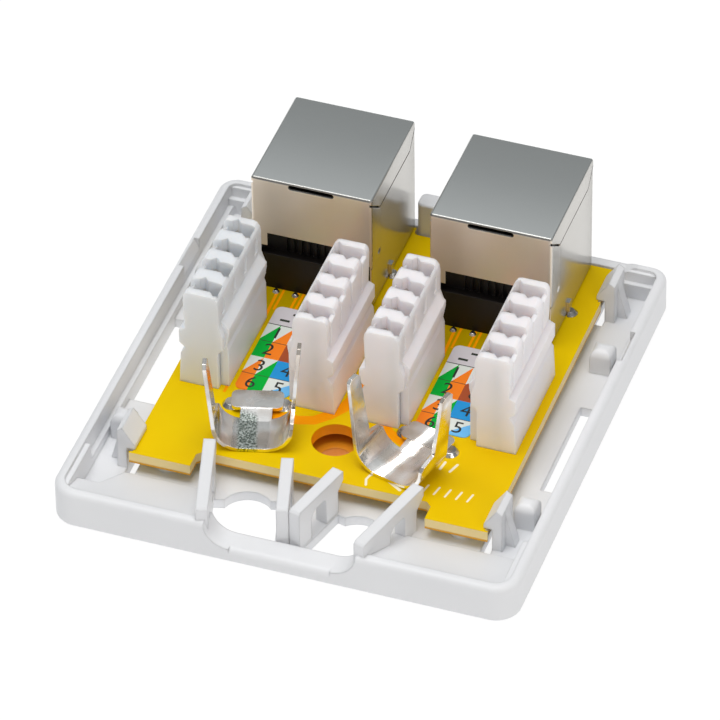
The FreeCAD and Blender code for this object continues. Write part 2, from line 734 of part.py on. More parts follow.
def circuit_board():
    board = box(-BOARD_HALF, BOARD_HALF, BOARD_FRONT, BOARD_REAR, BOARD_BOTTOM, BOARD_TOP)
    low, high = BOARD_BOTTOM - 1, BOARD_TOP + 1
    corner_x, corner_y = RECESS_HALF_WIDTH - RECESS_CORNER, RECESS_FRONT - RECESS_CORNER
    recess = plan(
        [
            (-RECESS_HALF_WIDTH, BOARD_FRONT - 1), (-RECESS_HALF_WIDTH, corner_y), (-corner_x, RECESS_FRONT),
            (corner_x, RECESS_FRONT), (RECESS_HALF_WIDTH, corner_y), (RECESS_HALF_WIDTH, BOARD_FRONT - 1),
        ],
        low, high,
    )
    half_notch = CLIP_WIDTH / 2 + CLIP_NOTCH_ROOM
    notches = [
        box(BOARD_HALF - CLIP_NOTCH_DEPTH, BOARD_HALF + 1, y - half_notch, y + half_notch, low, high)
        for y in CLIP_ROWS
    ]
    divider_half = DIVIDER_WIDTH / 2 + DIVIDER_ROOM
    divider_notch = rounded_box(
        -divider_half, divider_half, REAR - DIVIDER_DEPTH - DIVIDER_ROOM, REAR,
        low, high, DIVIDER_ROOM * 2,
    )
    tail_hole = TAIL_WIDTH / math.sqrt(2) + TAIL_HOLE_GAP
    wire_hole = WIRE_WIDTH / math.sqrt(2) + TAIL_HOLE_GAP
    holes = [drum(SCREW_ACCESS_RADIUS, SCREW_X, SCREW_Y, low, high)]
    holes += [drum(tail_hole, x, y, low, high) for x, y in tail_places()]
    for _, side in SIDES:
        x = port_x(side)
        holes += [drum(wire_hole, x + wire_x(i), wire_row(i), low, high) for i in range(WIRE_COUNT)]
        holes += [drum(PEG_RADIUS + PEG_GAP, x + peg, PEG_Y, low, high) for peg in (-PEG_X, PEG_X)]
        holes += [shifted(tab, x) for tab in shell_tabs(TAIL_HOLE_GAP, low)]
    for _, angle, x, y in clamp_places():
        holes += [turned(clamp_leg(end, TAIL_HOLE_GAP), angle, x, y) for end in (-1, 1)]
    return cut(board, [recess] + both_sides(notches) + [divider_notch] + [Part.makeCompound(holes)])


# Jacks, built round x = 0

def shell_tabs(gap, bottom):
    """Pins of the shield that go through the board on both sides."""
    outer = JACK_WIDTH / 2 + SHELL_TAB_OUTSIDE + gap
    inner = JACK_WIDTH / 2 - SHEET - gap
    half = SHELL_TAB_WIDTH / 2 + gap
    right = box(inner, outer, tab_y() - half, tab_y() + half, bottom, BOARD_TOP + SHELL_TAB_HEIGHT + gap)
    return [right, mirrored(right)]


def fold_recess():
    """Right side of the shield outside its folded strips, where the sheet lies deeper, and their seam."""
    half = JACK_WIDTH / 2
    foot = BOARD_TOP + SHELL_FOOT_GAP
    strip_rear = JACK_FRONT + FOLD_FRONT_WIDTH
    strip_low = SHELL_TOP - FOLD_FRONT_LENGTH
    seam = SHELL_TOP - FOLD_TOP_HEIGHT
    kink = BOARD_REAR - FOLD_TOP_KINK
    end = SHELL_TOP - FOLD_TOP_END
    front, behind = JACK_FRONT - 1, BOARD_REAR + 1
    outline = [
        (strip_rear, seam), (kink, seam), (BOARD_REAR, end), (behind, end),
        (behind, foot - 1), (front, foot - 1), (front, strip_low), (strip_rear, strip_low),
    ]
    seam_path = [
        (front, strip_low), (strip_rear, strip_low), (strip_rear, seam), (kink, seam), (BOARD_REAR, end)
    ]
    groove = ribbon(seam_path, SEAM_WIDTH, half, 2 * SEAM_DEPTH)
    return section_yz(outline, half - FOLD_PROUD, half + 1).fuse(groove)


def mitre_slit():
    """Open slit between the top strip and the front strip, from the corner downwards."""
    y0, z0 = JACK_FRONT - MITRE_GAP, SHELL_TOP - MITRE_GAP
    y1, z1 = JACK_FRONT + FOLD_FRONT_WIDTH, SHELL_TOP - FOLD_TOP_HEIGHT
    outline = [(y0, z0), (y1, z1), (y1, z1 - MITRE_GAP), (y0, z0 - MITRE_GAP)]
    return section_yz(outline, JACK_WIDTH / 2 - SHEET, JACK_WIDTH / 2 + 1)


def side_dimple():
    y, z = JACK_FRONT + DIMPLE_FROM_FRONT, SHELL_TOP - DIMPLE_FROM_TOP
    inner = JACK_WIDTH / 2 - SHEET / 2
    return Part.makeCone(
        DIMPLE_RADIUS / 2, DIMPLE_RADIUS, JACK_WIDTH / 2 - inner, Vector(inner, y, z), Vector(1, 0, 0)
    )


def front_slot():
    """Slot with round ends in the front face, just below the top fold."""
    radius = SHELL_SLOT_HEIGHT / 2
    middle_z = SHELL_TOP - SHELL_SLOT_DROP - radius
    reach = SHELL_SLOT_WIDTH / 2 - radius
    front = JACK_FRONT - 1
    rear = JACK_FRONT + SHEET + SHELL_GAP
    slot = box(-reach, reach, front, rear, middle_z - radius, middle_z + radius)
    ends = [
        Part.makeCylinder(radius, rear - front, Vector(x, front, middle_z), Vector(0, 1, 0))
        for x in (-reach, reach)
    ]
    return fuse([slot] + ends)


def jack_shield():
    half = JACK_WIDTH / 2
    foot = BOARD_TOP + SHELL_FOOT_GAP
    skin = rounded_box(-half, half, JACK_FRONT, BOARD_REAR, foot, SHELL_TOP, SHELL_BEND)
    skin = skin.makeFillet(SHELL_BEND, edges_at_height(skin, SHELL_TOP))
    room = half - SHEET
    front, front_rear = JACK_FRONT - 1, JACK_FRONT + SHELL_BEND
    inside = box(-room, room, JACK_FRONT + SHEET, BOARD_REAR - SHEET, foot - 1, SHELL_TOP - SHEET)
    front_low = BOARD_TOP + SHELL_FRONT_BOTTOM
    notch = half - SHELL_NOTCH_INSET
    frame = half - SHELL_REAR_FRAME
    frame_top = SHELL_TOP - SHELL_REAR_FRAME
    openings = [
        box(-room, room, front, front_rear, foot - 1, front_low),
        box(-notch, notch, front, front_rear, foot, front_low + SHELL_NOTCH_HEIGHT),
        front_slot(),
        box(-frame, frame, BOARD_REAR - SHELL_BEND, BOARD_REAR + 1, foot - 1, frame_top),
    ]
    openings += both_sides([fold_recess(), mitre_slit(), side_dimple()])
    skin = cut(skin, [inside] + openings)
    return fuse([skin] + shell_tabs(0, BOARD_BOTTOM - SOLDER_HEIGHT))


def insert_cap(gap):
    reach = INSERT_CAP_HALF + gap
    low = HOUSING_TOP - INSERT_CAP_THICKNESS - gap
    return box(-reach, reach, PLATE_FRONT, CAP_REAR + gap, low, HOUSING_TOP)


def insert_base(gap):
    return box(
        -HOUSING_HALF, HOUSING_HALF, PLATE_FRONT, WIRE_Y + WIRE_ROW_GAP + INSERT_BASE_BEHIND + gap,
        BOARD_TOP, BOARD_TOP + INSERT_BASE_HEIGHT + gap,
    )


def jack_housing():
    body = box(
        -HOUSING_HALF, HOUSING_HALF, PLATE_REAR + INSERT_GAP, HOUSING_REAR, BOARD_TOP, HOUSING_TOP
    )
    low = BOARD_TOP + SOCKET_BOTTOM
    high = low + SOCKET_HEIGHT
    half = SOCKET_WIDTH / 2
    latch = LATCH_WIDTH / 2
    room = INSERT_CAP_HALF - WIRE_PITCH
    cap_low = HOUSING_TOP - INSERT_CAP_THICKNESS
    removed = [
        box(-half, half, SOCKET_FRONT, BOARD_REAR, low, high),
        box(-latch, latch, SOCKET_FRONT, BOARD_REAR, low - LATCH_HEIGHT, high),
        box(-room, room, PLATE_REAR, CAP_REAR, high - INSERT_GAP, cap_low),
        insert_cap(INSERT_GAP),
        insert_base(INSERT_GAP),
    ]
    pegs = [drum(PEG_RADIUS, x, PEG_Y, BOARD_BOTTOM, BOARD_TOP + PEG_RADIUS) for x in (-PEG_X, PEG_X)]
    return fuse([cut(body, removed)] + pegs)


def ribbon(points, thickness, x, width):
    """A strip of sheet that follows points in the YZ plane, with mitred bends."""
    def offset(sign):
        line = []
        for index, (y, z) in enumerate(points):
            before = points[max(index - 1, 0)]
            after = points[min(index + 1, len(points) - 1)]
            into = unit(before, (y, z)) if index else unit((y, z), after)
            out = unit((y, z), after) if index < len(points) - 1 else into
            normal = (-into[1] - out[1], into[0] + out[0])
            size = (normal[0] ** 2 + normal[1] ** 2) / 2
            scale = sign * thickness / 2 / size
            line.append((y + normal[0] * scale, z + normal[1] * scale))
        return line
    return section_yz(offset(1) + offset(-1)[::-1], x - width / 2, x + width / 2)


def unit(start, end):
    length = math.hypot(end[0] - start[0], end[1] - start[1])
    return ((end[0] - start[0]) / length, (end[1] - start[1]) / length)


def wire(index, gap=0):
    """One spring contact: up through the board and the insert, back over the socket, down into it."""
    bottom = BOARD_TOP - TAIL_LENGTH
    jog = BOARD_TOP + WIRE_JOG_HEIGHT
    roof = WIRE_ROOF + WIRE_THICKNESS / 2
    reach = SOCKET_FRONT + WIRE_REACH
    path = [(WIRE_Y, bottom)]
    if index % 2:
        path = [(wire_row(index), bottom), (wire_row(index), jog), (WIRE_Y, jog)]
    path += [
        (WIRE_Y, roof), (reach, roof), (reach + WIRE_NOSE, roof - WIRE_NOSE / 2),
        (reach + WIRE_NOSE / 2, roof - WIRE_NOSE_DROP), (SOCKET_FRONT + WIRE_END_REACH, roof - WIRE_DROP),
    ]
    return ribbon(path, WIRE_THICKNESS + 2 * gap, wire_x(index), WIRE_WIDTH + 2 * gap)


def jack_contacts():
    return Part.makeCompound([wire(index) for index in range(WIRE_COUNT)])


def jack_insert():
    """The pin carrier: foot, back plate with a comb of grooves, base and the cap over the wires."""
    half = HOUSING_HALF
    wire_room = INSERT_CAP_HALF - WIRE_PITCH
    foot_top = BOARD_TOP + INSERT_FOOT_HEIGHT
    cap_low = HOUSING_TOP - INSERT_CAP_THICKNESS
    foot = box(-half, half, INSERT_FRONT, PLATE_FRONT, BOARD_TOP, foot_top)
    plate = box(-half, half, PLATE_FRONT, PLATE_REAR, BOARD_TOP, HOUSING_TOP)
    over_plate = box(
        -wire_room, wire_room, WIRE_Y - WIRE_THICKNESS, PLATE_REAR + 1, WIRE_ROOF - INSERT_GAP, cap_low
    )
    comb_half = COMB_WIDTH / 2
    removed = [over_plate, fuse_all([wire(index, WIRE_GROOVE) for index in range(WIRE_COUNT)])]
    for index in range(WIRE_COUNT):
        x = wire_x(index)
        removed.append(
            box(x - comb_half, x + comb_half, INSERT_FRONT, PLATE_FRONT + COMB_DEPTH, foot_top, WIRE_ROOF)
        )
    return cut(fuse([foot, plate, insert_base(0), insert_cap(0)]), removed)


# Terminal blocks, built with the base's left front corner at the origin

def block_rows():
    """Name, x of the base centre and which way round each terminal block stands."""
    rows = []
    for _, side in SIDES:
        for turn in (-1, 1):
            x = port_x(side) + BLOCK_SHIFT + turn * BLOCK_ROW_GAP / 2
            rows.append((len(rows) + 1, x, turn))
    return rows


def slot_offsets():
    return [(index - (SLOT_COUNT - 1) / 2) * SLOT_PITCH for index in range(SLOT_COUNT)]


def block_outline():
    """Section of a block: tapered base, neck, wings and the narrower crest."""
    half = BLOCK_BASE_WIDTH / 2
    top = BLOCK_HEIGHT
    neck_z = BASE_TOP + NECK_RISE
    wing_right = half - WING_OUT_RIGHT
    wing_left = -half - WING_OUT_LEFT
    crest_z = WING_HIGH + WING_SLOPE
    shoulders = [
        (CREST_RIGHT, top - RIGHT_SHOULDER_HEIGHT),
        (CREST_RIGHT - RIGHT_SHOULDER / 8, top - RIGHT_SHOULDER_HEIGHT / 2),
        (CREST_RIGHT - RIGHT_SHOULDER / 2, top - RIGHT_SHOULDER_HEIGHT / 8),
        (CREST_RIGHT - RIGHT_SHOULDER, top),
        (-CREST_LEFT + LEFT_SHOULDER, top),
        (-CREST_LEFT + LEFT_SHOULDER / 2, top - LEFT_SHOULDER_HEIGHT / 8),
        (-CREST_LEFT + LEFT_SHOULDER / 8, top - LEFT_SHOULDER_HEIGHT / 2),
        (-CREST_LEFT, top - LEFT_SHOULDER_HEIGHT),
    ]
    right_side = [
        (half, 0), (half - BASE_DRAFT, BASE_TOP), (half - NECK, neck_z),
        (wing_right, WING_LOW), (wing_right, WING_HIGH), (half - NECK, crest_z),
    ]
    left_side = [
        (-CREST_LEFT, crest_z + CREST_FOOT_LEFT), (wing_left, WING_HIGH), (wing_left, WING_LOW),
        (-half, neck_z), (-half, 0),
    ]
    return right_side + shoulders + left_side


def terminal_block():
    """One block round its base centre, flange side to the left."""
    half = BLOCK_BASE_WIDTH / 2
    top = BLOCK_HEIGHT
    front = -BLOCK_LENGTH / 2
    neck_z = BASE_TOP + NECK_RISE
    body = section_xz(block_outline(), front, -front)
    flange_outline = [
        (-half, 0), (-half - FLANGE_WIDTH, 0), (-half - FLANGE_WIDTH, neck_z), (-half - NECK, WING_LOW),
        (-half - FLANGE_WING, WING_HIGH), (-half - FLANGE_WING, FLANGE_WING_HEIGHT),
        (-CREST_LEFT, FLANGE_WING_HEIGHT + CREST_FOOT_LEFT), (-half, FLANGE_WING_HEIGHT + CREST_FOOT_LEFT),
    ]
    body = body.fuse(section_xz(flange_outline, front + FLANGE_SETBACK, -front - FLANGE_SETBACK))
    slot_left = -CREST_LEFT + SLOT_WALL_LEFT
    slot_right = CREST_RIGHT - SLOT_WALL_RIGHT
    slot_half = SLOT_WIDTH / 2
    groove_low = FLANGE_WING_HEIGHT + CREST_FOOT_LEFT + GROOVE_RISE
    right_low = WING_HIGH + WING_SLOPE + GROOVE_RISE
    slit = box(-SLIT_LENGTH / 2, SLIT_LENGTH / 2, -SLIT_WIDTH / 2, SLIT_WIDTH / 2, -1, top + 1)
    removed = []
    for y in slot_offsets():
        low_y, high_y = y - slot_half, y + slot_half
        left_groove = y - GROOVE_LEFT_WIDTH / 2
        removed += [
            box(slot_left, slot_right, low_y, high_y, top - SLOT_DEPTH, top + 1),
            box(-half - FLANGE_WIDTH, 0, low_y, high_y, top - SLOT_WALL_DROP_LEFT, top + 1),
            box(0, half, low_y, high_y, top - SLOT_WALL_DROP_RIGHT, top + 1),
            turned(slit, SLIT_ANGLE, BLOCK_SLIT_X, y),
            box(
                -half - FLANGE_WIDTH, -CREST_LEFT + GROOVE_DEPTH / 2, left_groove,
                left_groove + GROOVE_LEFT_WIDTH, groove_low, top - LEFT_SHOULDER_HEIGHT,
            ),
            box(
                CREST_RIGHT - GROOVE_DEPTH, half, low_y, low_y + GROOVE_RIGHT_WIDTH,
                right_low, top - SLOT_WALL_DROP_RIGHT,
            ),
        ]
    return cut(body, [fuse_all(removed)])


def fork():
    """Contact with a fork for the wire at the top and a tail through the board."""
    half = FORK_WIDTH / 2
    gap = FORK_GAP / 2
    tail = TAIL_WIDTH / 2
    throat = FORK_TOP - FORK_MOUTH / 2
    outline = [
        (-half, 0), (-half, FORK_TOP), (-gap - FORK_MOUTH / 2, FORK_TOP), (-gap, throat),
        (-gap, FORK_TOP - FORK_GAP_DEPTH), (gap, FORK_TOP - FORK_GAP_DEPTH), (gap, throat),
        (gap + FORK_MOUTH / 2, FORK_TOP), (half, FORK_TOP), (half, 0),
        (tail, 0), (tail, -TAIL_LENGTH), (-tail, -TAIL_LENGTH), (-tail, 0),
    ]
    return section_xz(outline, -FORK_THICKNESS / 2, FORK_THICKNESS / 2)


def terminal_contacts():
    return Part.makeCompound([turned(fork(), SLIT_ANGLE, BLOCK_SLIT_X, y) for y in slot_offsets()])


# Shield clamps, built along +Y with the middle of the front edge at the origin

def trough_face(inset, rise):
    """The inside of the trough's section, from its bottom to rise above the arm tips."""
    radius = CLAMP_BEND_RADIUS + CLAMP_SHEET - inset
    centre_z = CLAMP_BEND_RADIUS + CLAMP_SHEET
    lean = math.radians(CLAMP_LEAN)

    def on_bend(side, angle):
        x = side * (CLAMP_FLAT_HALF + radius * math.cos(angle))
        return Vector(x, 0, centre_z + radius * math.sin(angle))

    def tip(side):
        end = on_bend(side, -lean)
        climb = CLAMP_ARM_TOP + rise - end.z
        return Vector(end.x + side * climb * math.tan(lean), 0, CLAMP_ARM_TOP + rise)

    bend_middle = (-lean - math.pi / 2) / 2
    edges = []
    for side in (-1, 1):
        edges.append(Part.LineSegment(tip(side), on_bend(side, -lean)).toShape())
        arc = Part.Arc(on_bend(side, -lean), on_bend(side, bend_middle), on_bend(side, -math.pi / 2))
        edges.append(arc.toShape())
    edges.append(Part.LineSegment(on_bend(-1, -math.pi / 2), on_bend(1, -math.pi / 2)).toShape())
    edges.append(Part.LineSegment(tip(-1), tip(1)).toShape())
    return Part.Face(Part.Wire(Part.__sortEdges__(edges)))


def shield_clamp():
    length = Vector(0, CLAMP_LENGTH, 0)
    trough = trough_face(0, 0).extrude(length).cut(trough_face(CLAMP_SHEET, 1).extrude(length))
    top = CLAMP_ARM_TOP
    bevel = CLAMP_SHEET
    front_arm = [
        (0, 0), (0, top - bevel), (bevel, top), (CLAMP_ARM_TIP, top), (CLAMP_ARM_TIP + bevel, top - bevel),
        (CLAMP_ARM_ROOT, CLAMP_ARM_FRONT_WALL + bevel), (CLAMP_LENGTH - bevel, CLAMP_ARM_FRONT_WALL),
        (CLAMP_LENGTH, CLAMP_ARM_FRONT_WALL - bevel), (CLAMP_LENGTH, 0),
    ]
    rear_arm = [
        (CLAMP_LENGTH - y, z + (CLAMP_ARM_REAR_WALL - CLAMP_ARM_FRONT_WALL if 5 <= i < 8 else 0))
        for i, (y, z) in enumerate(front_arm)
    ]
    reach = CLAMP_FLAT_HALF + 2 * CLAMP_BEND_RADIUS + CLAMP_SHEET
    kept = section_yz(front_arm, -reach, 0).fuse(section_yz(rear_arm, 0, reach))
    lift = CLAMP_HEAD_LIFT - CLAMP_SHEET
    tongue = section_yz(
        [
            (CLAMP_LENGTH - CLAMP_SHEET, 0), (CLAMP_HEAD_START + CLAMP_SHEET, lift),
            (CLAMP_HEAD_START + CLAMP_SHEET, CLAMP_HEAD_LIFT), (CLAMP_LENGTH - CLAMP_SHEET, CLAMP_SHEET),
        ],
        -CLAMP_TONGUE_HALF, CLAMP_TONGUE_HALF,
    )
    head = rounded_box(
        -CLAMP_HEAD_HALF, CLAMP_HEAD_HALF, CLAMP_HEAD_START, CLAMP_HEAD_END,
        lift, CLAMP_HEAD_LIFT, (CLAMP_HEAD_END - CLAMP_HEAD_START) / 2 - CLAMP_LEG_WIDTH / 2,
    )
    raised = shifted(fuse([trough.common(kept), tongue, head]), 0, 0, BOARD_TOP + CLAMP_SEAT)
    return fuse([raised, clamp_leg(-1, 0), clamp_leg(1, 0)])


# Labels and solder

def wiring_label():
    half = LABEL_WIDTH / 2
    middle = BLOCK_MIDDLE + LABEL_FORWARD
    return rounded_box(
        -half, half, middle - LABEL_LENGTH / 2, middle + LABEL_LENGTH / 2,
        BOARD_TOP, BOARD_TOP + LABEL_THICKNESS, LABEL_CORNER,
    )


def mound(x, y, pin):
    """A cone of solder round a pin on the board's underside."""
    base = Vector(x, y, BOARD_BOTTOM)
    cone = Part.makeCone(SOLDER_RADIUS, SOLDER_RADIUS / 2, UNDER_SOLDER_HEIGHT, base, Vector(0, 0, -1))
    return cone.cut(pin)


def top_mound(x, y, radius, height):
    """A cone of solder on the board's top."""
    return Part.makeCone(radius, radius / 2, height, Vector(x, y, BOARD_TOP), Vector(0, 0, 1))


def tab_joint(x, side):
    """Solder round a shield pin, on the outer side of the shield only."""
    wall = x + side * JACK_WIDTH / 2
    blob = top_mound(wall + side * SHELL_TAB_OUTSIDE, tab_y(), SOLDER_RADIUS, TOP_SOLDER_HEIGHT)
    reach = 2 * SOLDER_RADIUS
    x0, x1 = sorted((wall, wall + side * reach))
    kept = blob.common(box(x0, x1, tab_y() - reach, tab_y() + reach, BOARD_TOP, SHELL_TOP))
    return cut(kept, [shifted(tab, x) for tab in shell_tabs(0, BOARD_TOP)])


def clamp_joint(end):
    middle = (CLAMP_HEAD_START + CLAMP_HEAD_END) / 2
    height = CLAMP_SEAT + CLAMP_HEAD_LIFT - CLAMP_SHEET
    foot = Vector(end * CLAMP_HEAD_HALF, middle, BOARD_TOP)
    blob = Part.makeCone(CLAMP_BLOB_FOOT, CLAMP_BLOB_TOP, height, foot, Vector(0, 0, 1))
    return blob.cut(clamp_leg(end, 0))


def solder_joints():
    joints = []
    for index, (_, forks) in enumerate(placed_blocks(terminal_contacts())):
        tails = tail_places()[index * SLOT_COUNT:(index + 1) * SLOT_COUNT]
        joints += [mound(x, y, forks) for x, y in tails]
    for _, side in SIDES:
        x = port_x(side)
        for index in range(WIRE_COUNT):
            joints.append(mound(x + wire_x(index), wire_row(index), shifted(wire(index), x)))
        joints += [tab_joint(x, tab_side) for tab_side in (-1, 1)]
        y = JACK_FRONT - FRONT_JOINT_RADIUS
        joints += [top_mound(x + dx, y, FRONT_JOINT_RADIUS, FRONT_JOINT_HEIGHT) for dx in FRONT_JOINTS]
    for _, angle, x, y in clamp_places():
        joints += [turned(clamp_joint(end), angle, x, y) for end in (-1, 1)]
    return Part.makeCompound([solid for joint in joints for solid in joint.Solids])


def placed_blocks(shape):
    """Copies of a piece of a terminal block, one for each block."""
    copies = []
    for number, x, turn in block_rows():
        copies.append((number, turned(shape, 0 if turn > 0 else 180, x, BLOCK_MIDDLE, BOARD_TOP)))
    return copies


def all_nodes():
    nodes = {"base_tray": base_tray(), "circuit_board": circuit_board(), "solder_joints": solder_joints()}
    jack_pieces = {
        "jack_shield": jack_shield(), "jack_housing": jack_housing(), "jack_insert": jack_insert(),
        "jack_contacts": jack_contacts(), "wiring_label": wiring_label(),
    }
    for piece, shape in jack_pieces.items():
        for name, side in SIDES:
            nodes[f"{piece}_{name}"] = shifted(shape, port_x(side))
    block_pieces = {"terminal_block": terminal_block(), "terminal_contacts": terminal_contacts()}
    for piece, shape in block_pieces.items():
        for number, placed in placed_blocks(shape):
            nodes[f"{piece}_{number}"] = placed
    clamp = shield_clamp()
    for name, angle, x, y in clamp_places():
        nodes[f"shield_clamp_{name}"] = turned(clamp, angle, x, y)
    return nodes


os.makedirs("parts", exist_ok=True)
for node, shape in all_nodes().items():
    shape.exportStep(f"parts/{node}.step")
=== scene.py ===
# %% [markdown]
# # A two-port network wall box, opened up
#
# The real object is a white moulded tray with a yellow circuit board clipped into it. Two shielded
# sockets, four white terminal blocks and two bent metal clamps stand on the board. The cover is off.
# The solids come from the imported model, in metres, and this notebook gives them their looks.

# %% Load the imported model
import math
import bpy
from mathutils import Matrix, Vector


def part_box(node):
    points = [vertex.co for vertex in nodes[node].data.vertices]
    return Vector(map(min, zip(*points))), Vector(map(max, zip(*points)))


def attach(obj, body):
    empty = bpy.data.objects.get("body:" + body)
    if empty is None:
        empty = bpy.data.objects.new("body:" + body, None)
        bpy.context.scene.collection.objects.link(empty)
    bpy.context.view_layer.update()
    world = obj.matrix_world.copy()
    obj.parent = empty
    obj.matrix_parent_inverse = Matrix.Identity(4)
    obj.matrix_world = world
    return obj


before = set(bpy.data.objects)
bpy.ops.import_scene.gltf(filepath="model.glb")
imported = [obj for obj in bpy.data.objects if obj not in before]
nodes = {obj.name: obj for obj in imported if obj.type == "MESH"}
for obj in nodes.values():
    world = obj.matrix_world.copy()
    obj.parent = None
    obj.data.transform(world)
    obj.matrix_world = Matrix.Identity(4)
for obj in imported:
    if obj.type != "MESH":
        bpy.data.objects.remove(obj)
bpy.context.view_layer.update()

MM = 0.001
print("CAD nodes:", len(nodes))

# %% [markdown]
# ## The camera
#
# The picture was taken with a long lens from the front right, about 41 degrees above the table. A long
# lens keeps the sides of the tray nearly parallel. The camera looks back along one direction, worked
# out from its turn round the object and its height above it, and is rolled by under a degree.

# %% Place the camera
CAMERA_TURN = math.radians(19.62)
CAMERA_HEIGHT = math.radians(40.805)
CAMERA_ROLL = math.radians(-0.781)
CAMERA_TARGET = Vector((-3.714, 8.847, 0)) * MM
CAMERA_DISTANCE = 908.3 * MM
LENS = 356.5

back = Vector((
    math.sin(CAMERA_TURN) * math.cos(CAMERA_HEIGHT),
    -math.cos(CAMERA_TURN) * math.cos(CAMERA_HEIGHT),
    math.sin(CAMERA_HEIGHT),
))
right = Vector((math.cos(CAMERA_TURN), math.sin(CAMERA_TURN), 0))
up = back.cross(right)
rolled_right = right * math.cos(CAMERA_ROLL) + up * math.sin(CAMERA_ROLL)
rolled_up = up * math.cos(CAMERA_ROLL) - right * math.sin(CAMERA_ROLL)

camera = bpy.data.objects.new("camera", bpy.data.cameras.new("camera"))
bpy.context.scene.collection.objects.link(camera)
camera.data.sensor_width = 36
camera.data.lens = LENS
camera.data.clip_start = 0.01
turn = Matrix((rolled_right, rolled_up, back)).transposed()
camera.matrix_world = Matrix.Translation(CAMERA_TARGET + back * CAMERA_DISTANCE) @ turn.to_4x4()
bpy.context.scene.camera = camera
print("camera at", [round(v, 3) for v in camera.location])

# %% [markdown]
# ## Colour and node helpers
#
# A colour that is read off a picture is an sRGB value, and Blender's shaders work with linear light, so
# one function turns a hex value into what a shader wants. A second one adds a node with its settings and
# links in one call, which keeps each material short enough to read from top to bottom.

# %% Helpers
bpy.context.scene.view_settings.view_transform = "Standard"


def hex_colour(text):
    """An sRGB hex value as a linear colour with alpha."""
    parts = [int(text[i:i + 2], 16) / 255 for i in (1, 3, 5)]
    linear = [p / 12.92 if p <= 0.04045 else ((p + 0.055) / 1.055) ** 2.4 for p in parts]
    return (*linear, 1)


def add_node(tree, kind, links=(), values=None, **settings):
    """One node: its settings, the values of its inputs, and links as (input, other node, output)."""
    node = tree.nodes.new(kind)
    for key, value in settings.items():
        setattr(node, key, value)
    for key, value in (values or {}).items():
        node.inputs[key].default_value = value
    for entry, source, output in links:
        tree.links.new(source.outputs[output], node.inputs[entry])
    return node


def spaced(millimetres):
    """The scale of a noise whose swells lie about this far apart."""
    return 1000 / millimetres


def new_material(name, colour, metallic, roughness):
    """A material with its main shader set, and its node tree and shader for more work."""
    material = bpy.data.materials.new(name)
    material.use_nodes = True
    shader = material.node_tree.nodes["Principled BSDF"]
    shader.inputs["Base Color"].default_value = hex_colour(colour)
    shader.inputs["Metallic"].default_value = metallic
    shader.inputs["Roughness"].default_value = roughness
    return material, material.node_tree, shader


def give(material, *starts):
    """Puts a material on every CAD node whose name starts with one of these words."""
    for name, solid in nodes.items():
        if name.startswith(starts):
            for place in solid.material_slots:
                place.material = material
    print(material.name, "->", ", ".join(starts))


# %% [markdown]
# ## The table and the light
#
# The object lies on a white sweep that is lit until it is pure white, as a catalogue picture has it. The
# sweep glows by itself a little, so that the shadow under the tray stays faint. A wide lamp overhead
# makes the tops the brightest faces, and a second one from the front right gives the bright metal
# something to mirror. Area lamps are used, because a point lamp would draw hard shadows.

# %% White sweep
bpy.ops.object.select_all(action="DESELECT")
bpy.ops.mesh.primitive_plane_add(size=3, location=(0, 0, 0))
floor = bpy.context.object
floor.name = "floor"

sweep, tree, shader = new_material("white_paper_sweep", "#808080", 0, 0.9)
shader.inputs["Specular IOR Level"].default_value = 0
shader.inputs["Emission Color"].default_value = hex_colour("#FFFFFF")
shader.inputs["Emission Strength"].default_value = 0.84
floor.data.materials.append(sweep)
print("the sweep is", [round(v, 2) for v in floor.dimensions], "m")


# %% Lamps
def lamp(name, size, power, place, look_at, colour="#FFFFFF"):
    """A rectangular lamp that faces a point."""
    data = bpy.data.lights.new(name, "AREA")
    data.shape = "RECTANGLE"
    data.size, data.size_y = size
    data.energy = power
    data.color = hex_colour(colour)[:3]
    lamp_object = bpy.data.objects.new(name, data)
    bpy.context.scene.collection.objects.link(lamp_object)
    lamp_object.location = place
    direction = Vector(look_at) - Vector(place)
    lamp_object.rotation_euler = direction.to_track_quat("-Z", "Y").to_euler()


lamp("overhead", (0.34, 0.34), 1.7, (-0.05, -0.05, 0.6), (0, 0, 0))
lamp("front_right", (0.26, 0.22), 0.7, (0.45, -0.4, 0.3), (0, 0, 0), "#FFF6EE")

# %% [markdown]
# ## The sky of the studio
#
# What the lamps don't light, the room does. A picture of a studio could be wrapped round the scene, but
# a ramp of greys from the horizon to straight overhead is enough: dark low down, where the sides of the
# shields look, and white overhead.

# %% Studio sky
world = bpy.data.worlds.new("studio")
bpy.context.scene.world = world
world.use_nodes = True
sky = world.node_tree
direction = add_node(sky, "ShaderNodeTexCoord")
direction_parts = add_node(sky, "ShaderNodeSeparateXYZ", [(0, direction, "Generated")])
height = add_node(sky, "ShaderNodeValToRGB", [("Fac", direction_parts, "Z")])
height.color_ramp.elements[0].position = 0.0
height.color_ramp.elements[0].color = (0.2, 0.2, 0.2, 1)
height.color_ramp.elements[1].position = 0.95
height.color_ramp.elements[1].color = (1.0, 1.0, 1.0, 1)
middle = height.color_ramp.elements.new(0.55)
middle.color = (0.33, 0.34, 0.34, 1)
upper = height.color_ramp.elements.new(0.78)
upper.color = (0.62, 0.63, 0.63, 1)
background = sky.nodes["Background"]
sky.links.new(height.outputs["Color"], background.inputs["Color"])
background.inputs["Strength"].default_value = 0.85
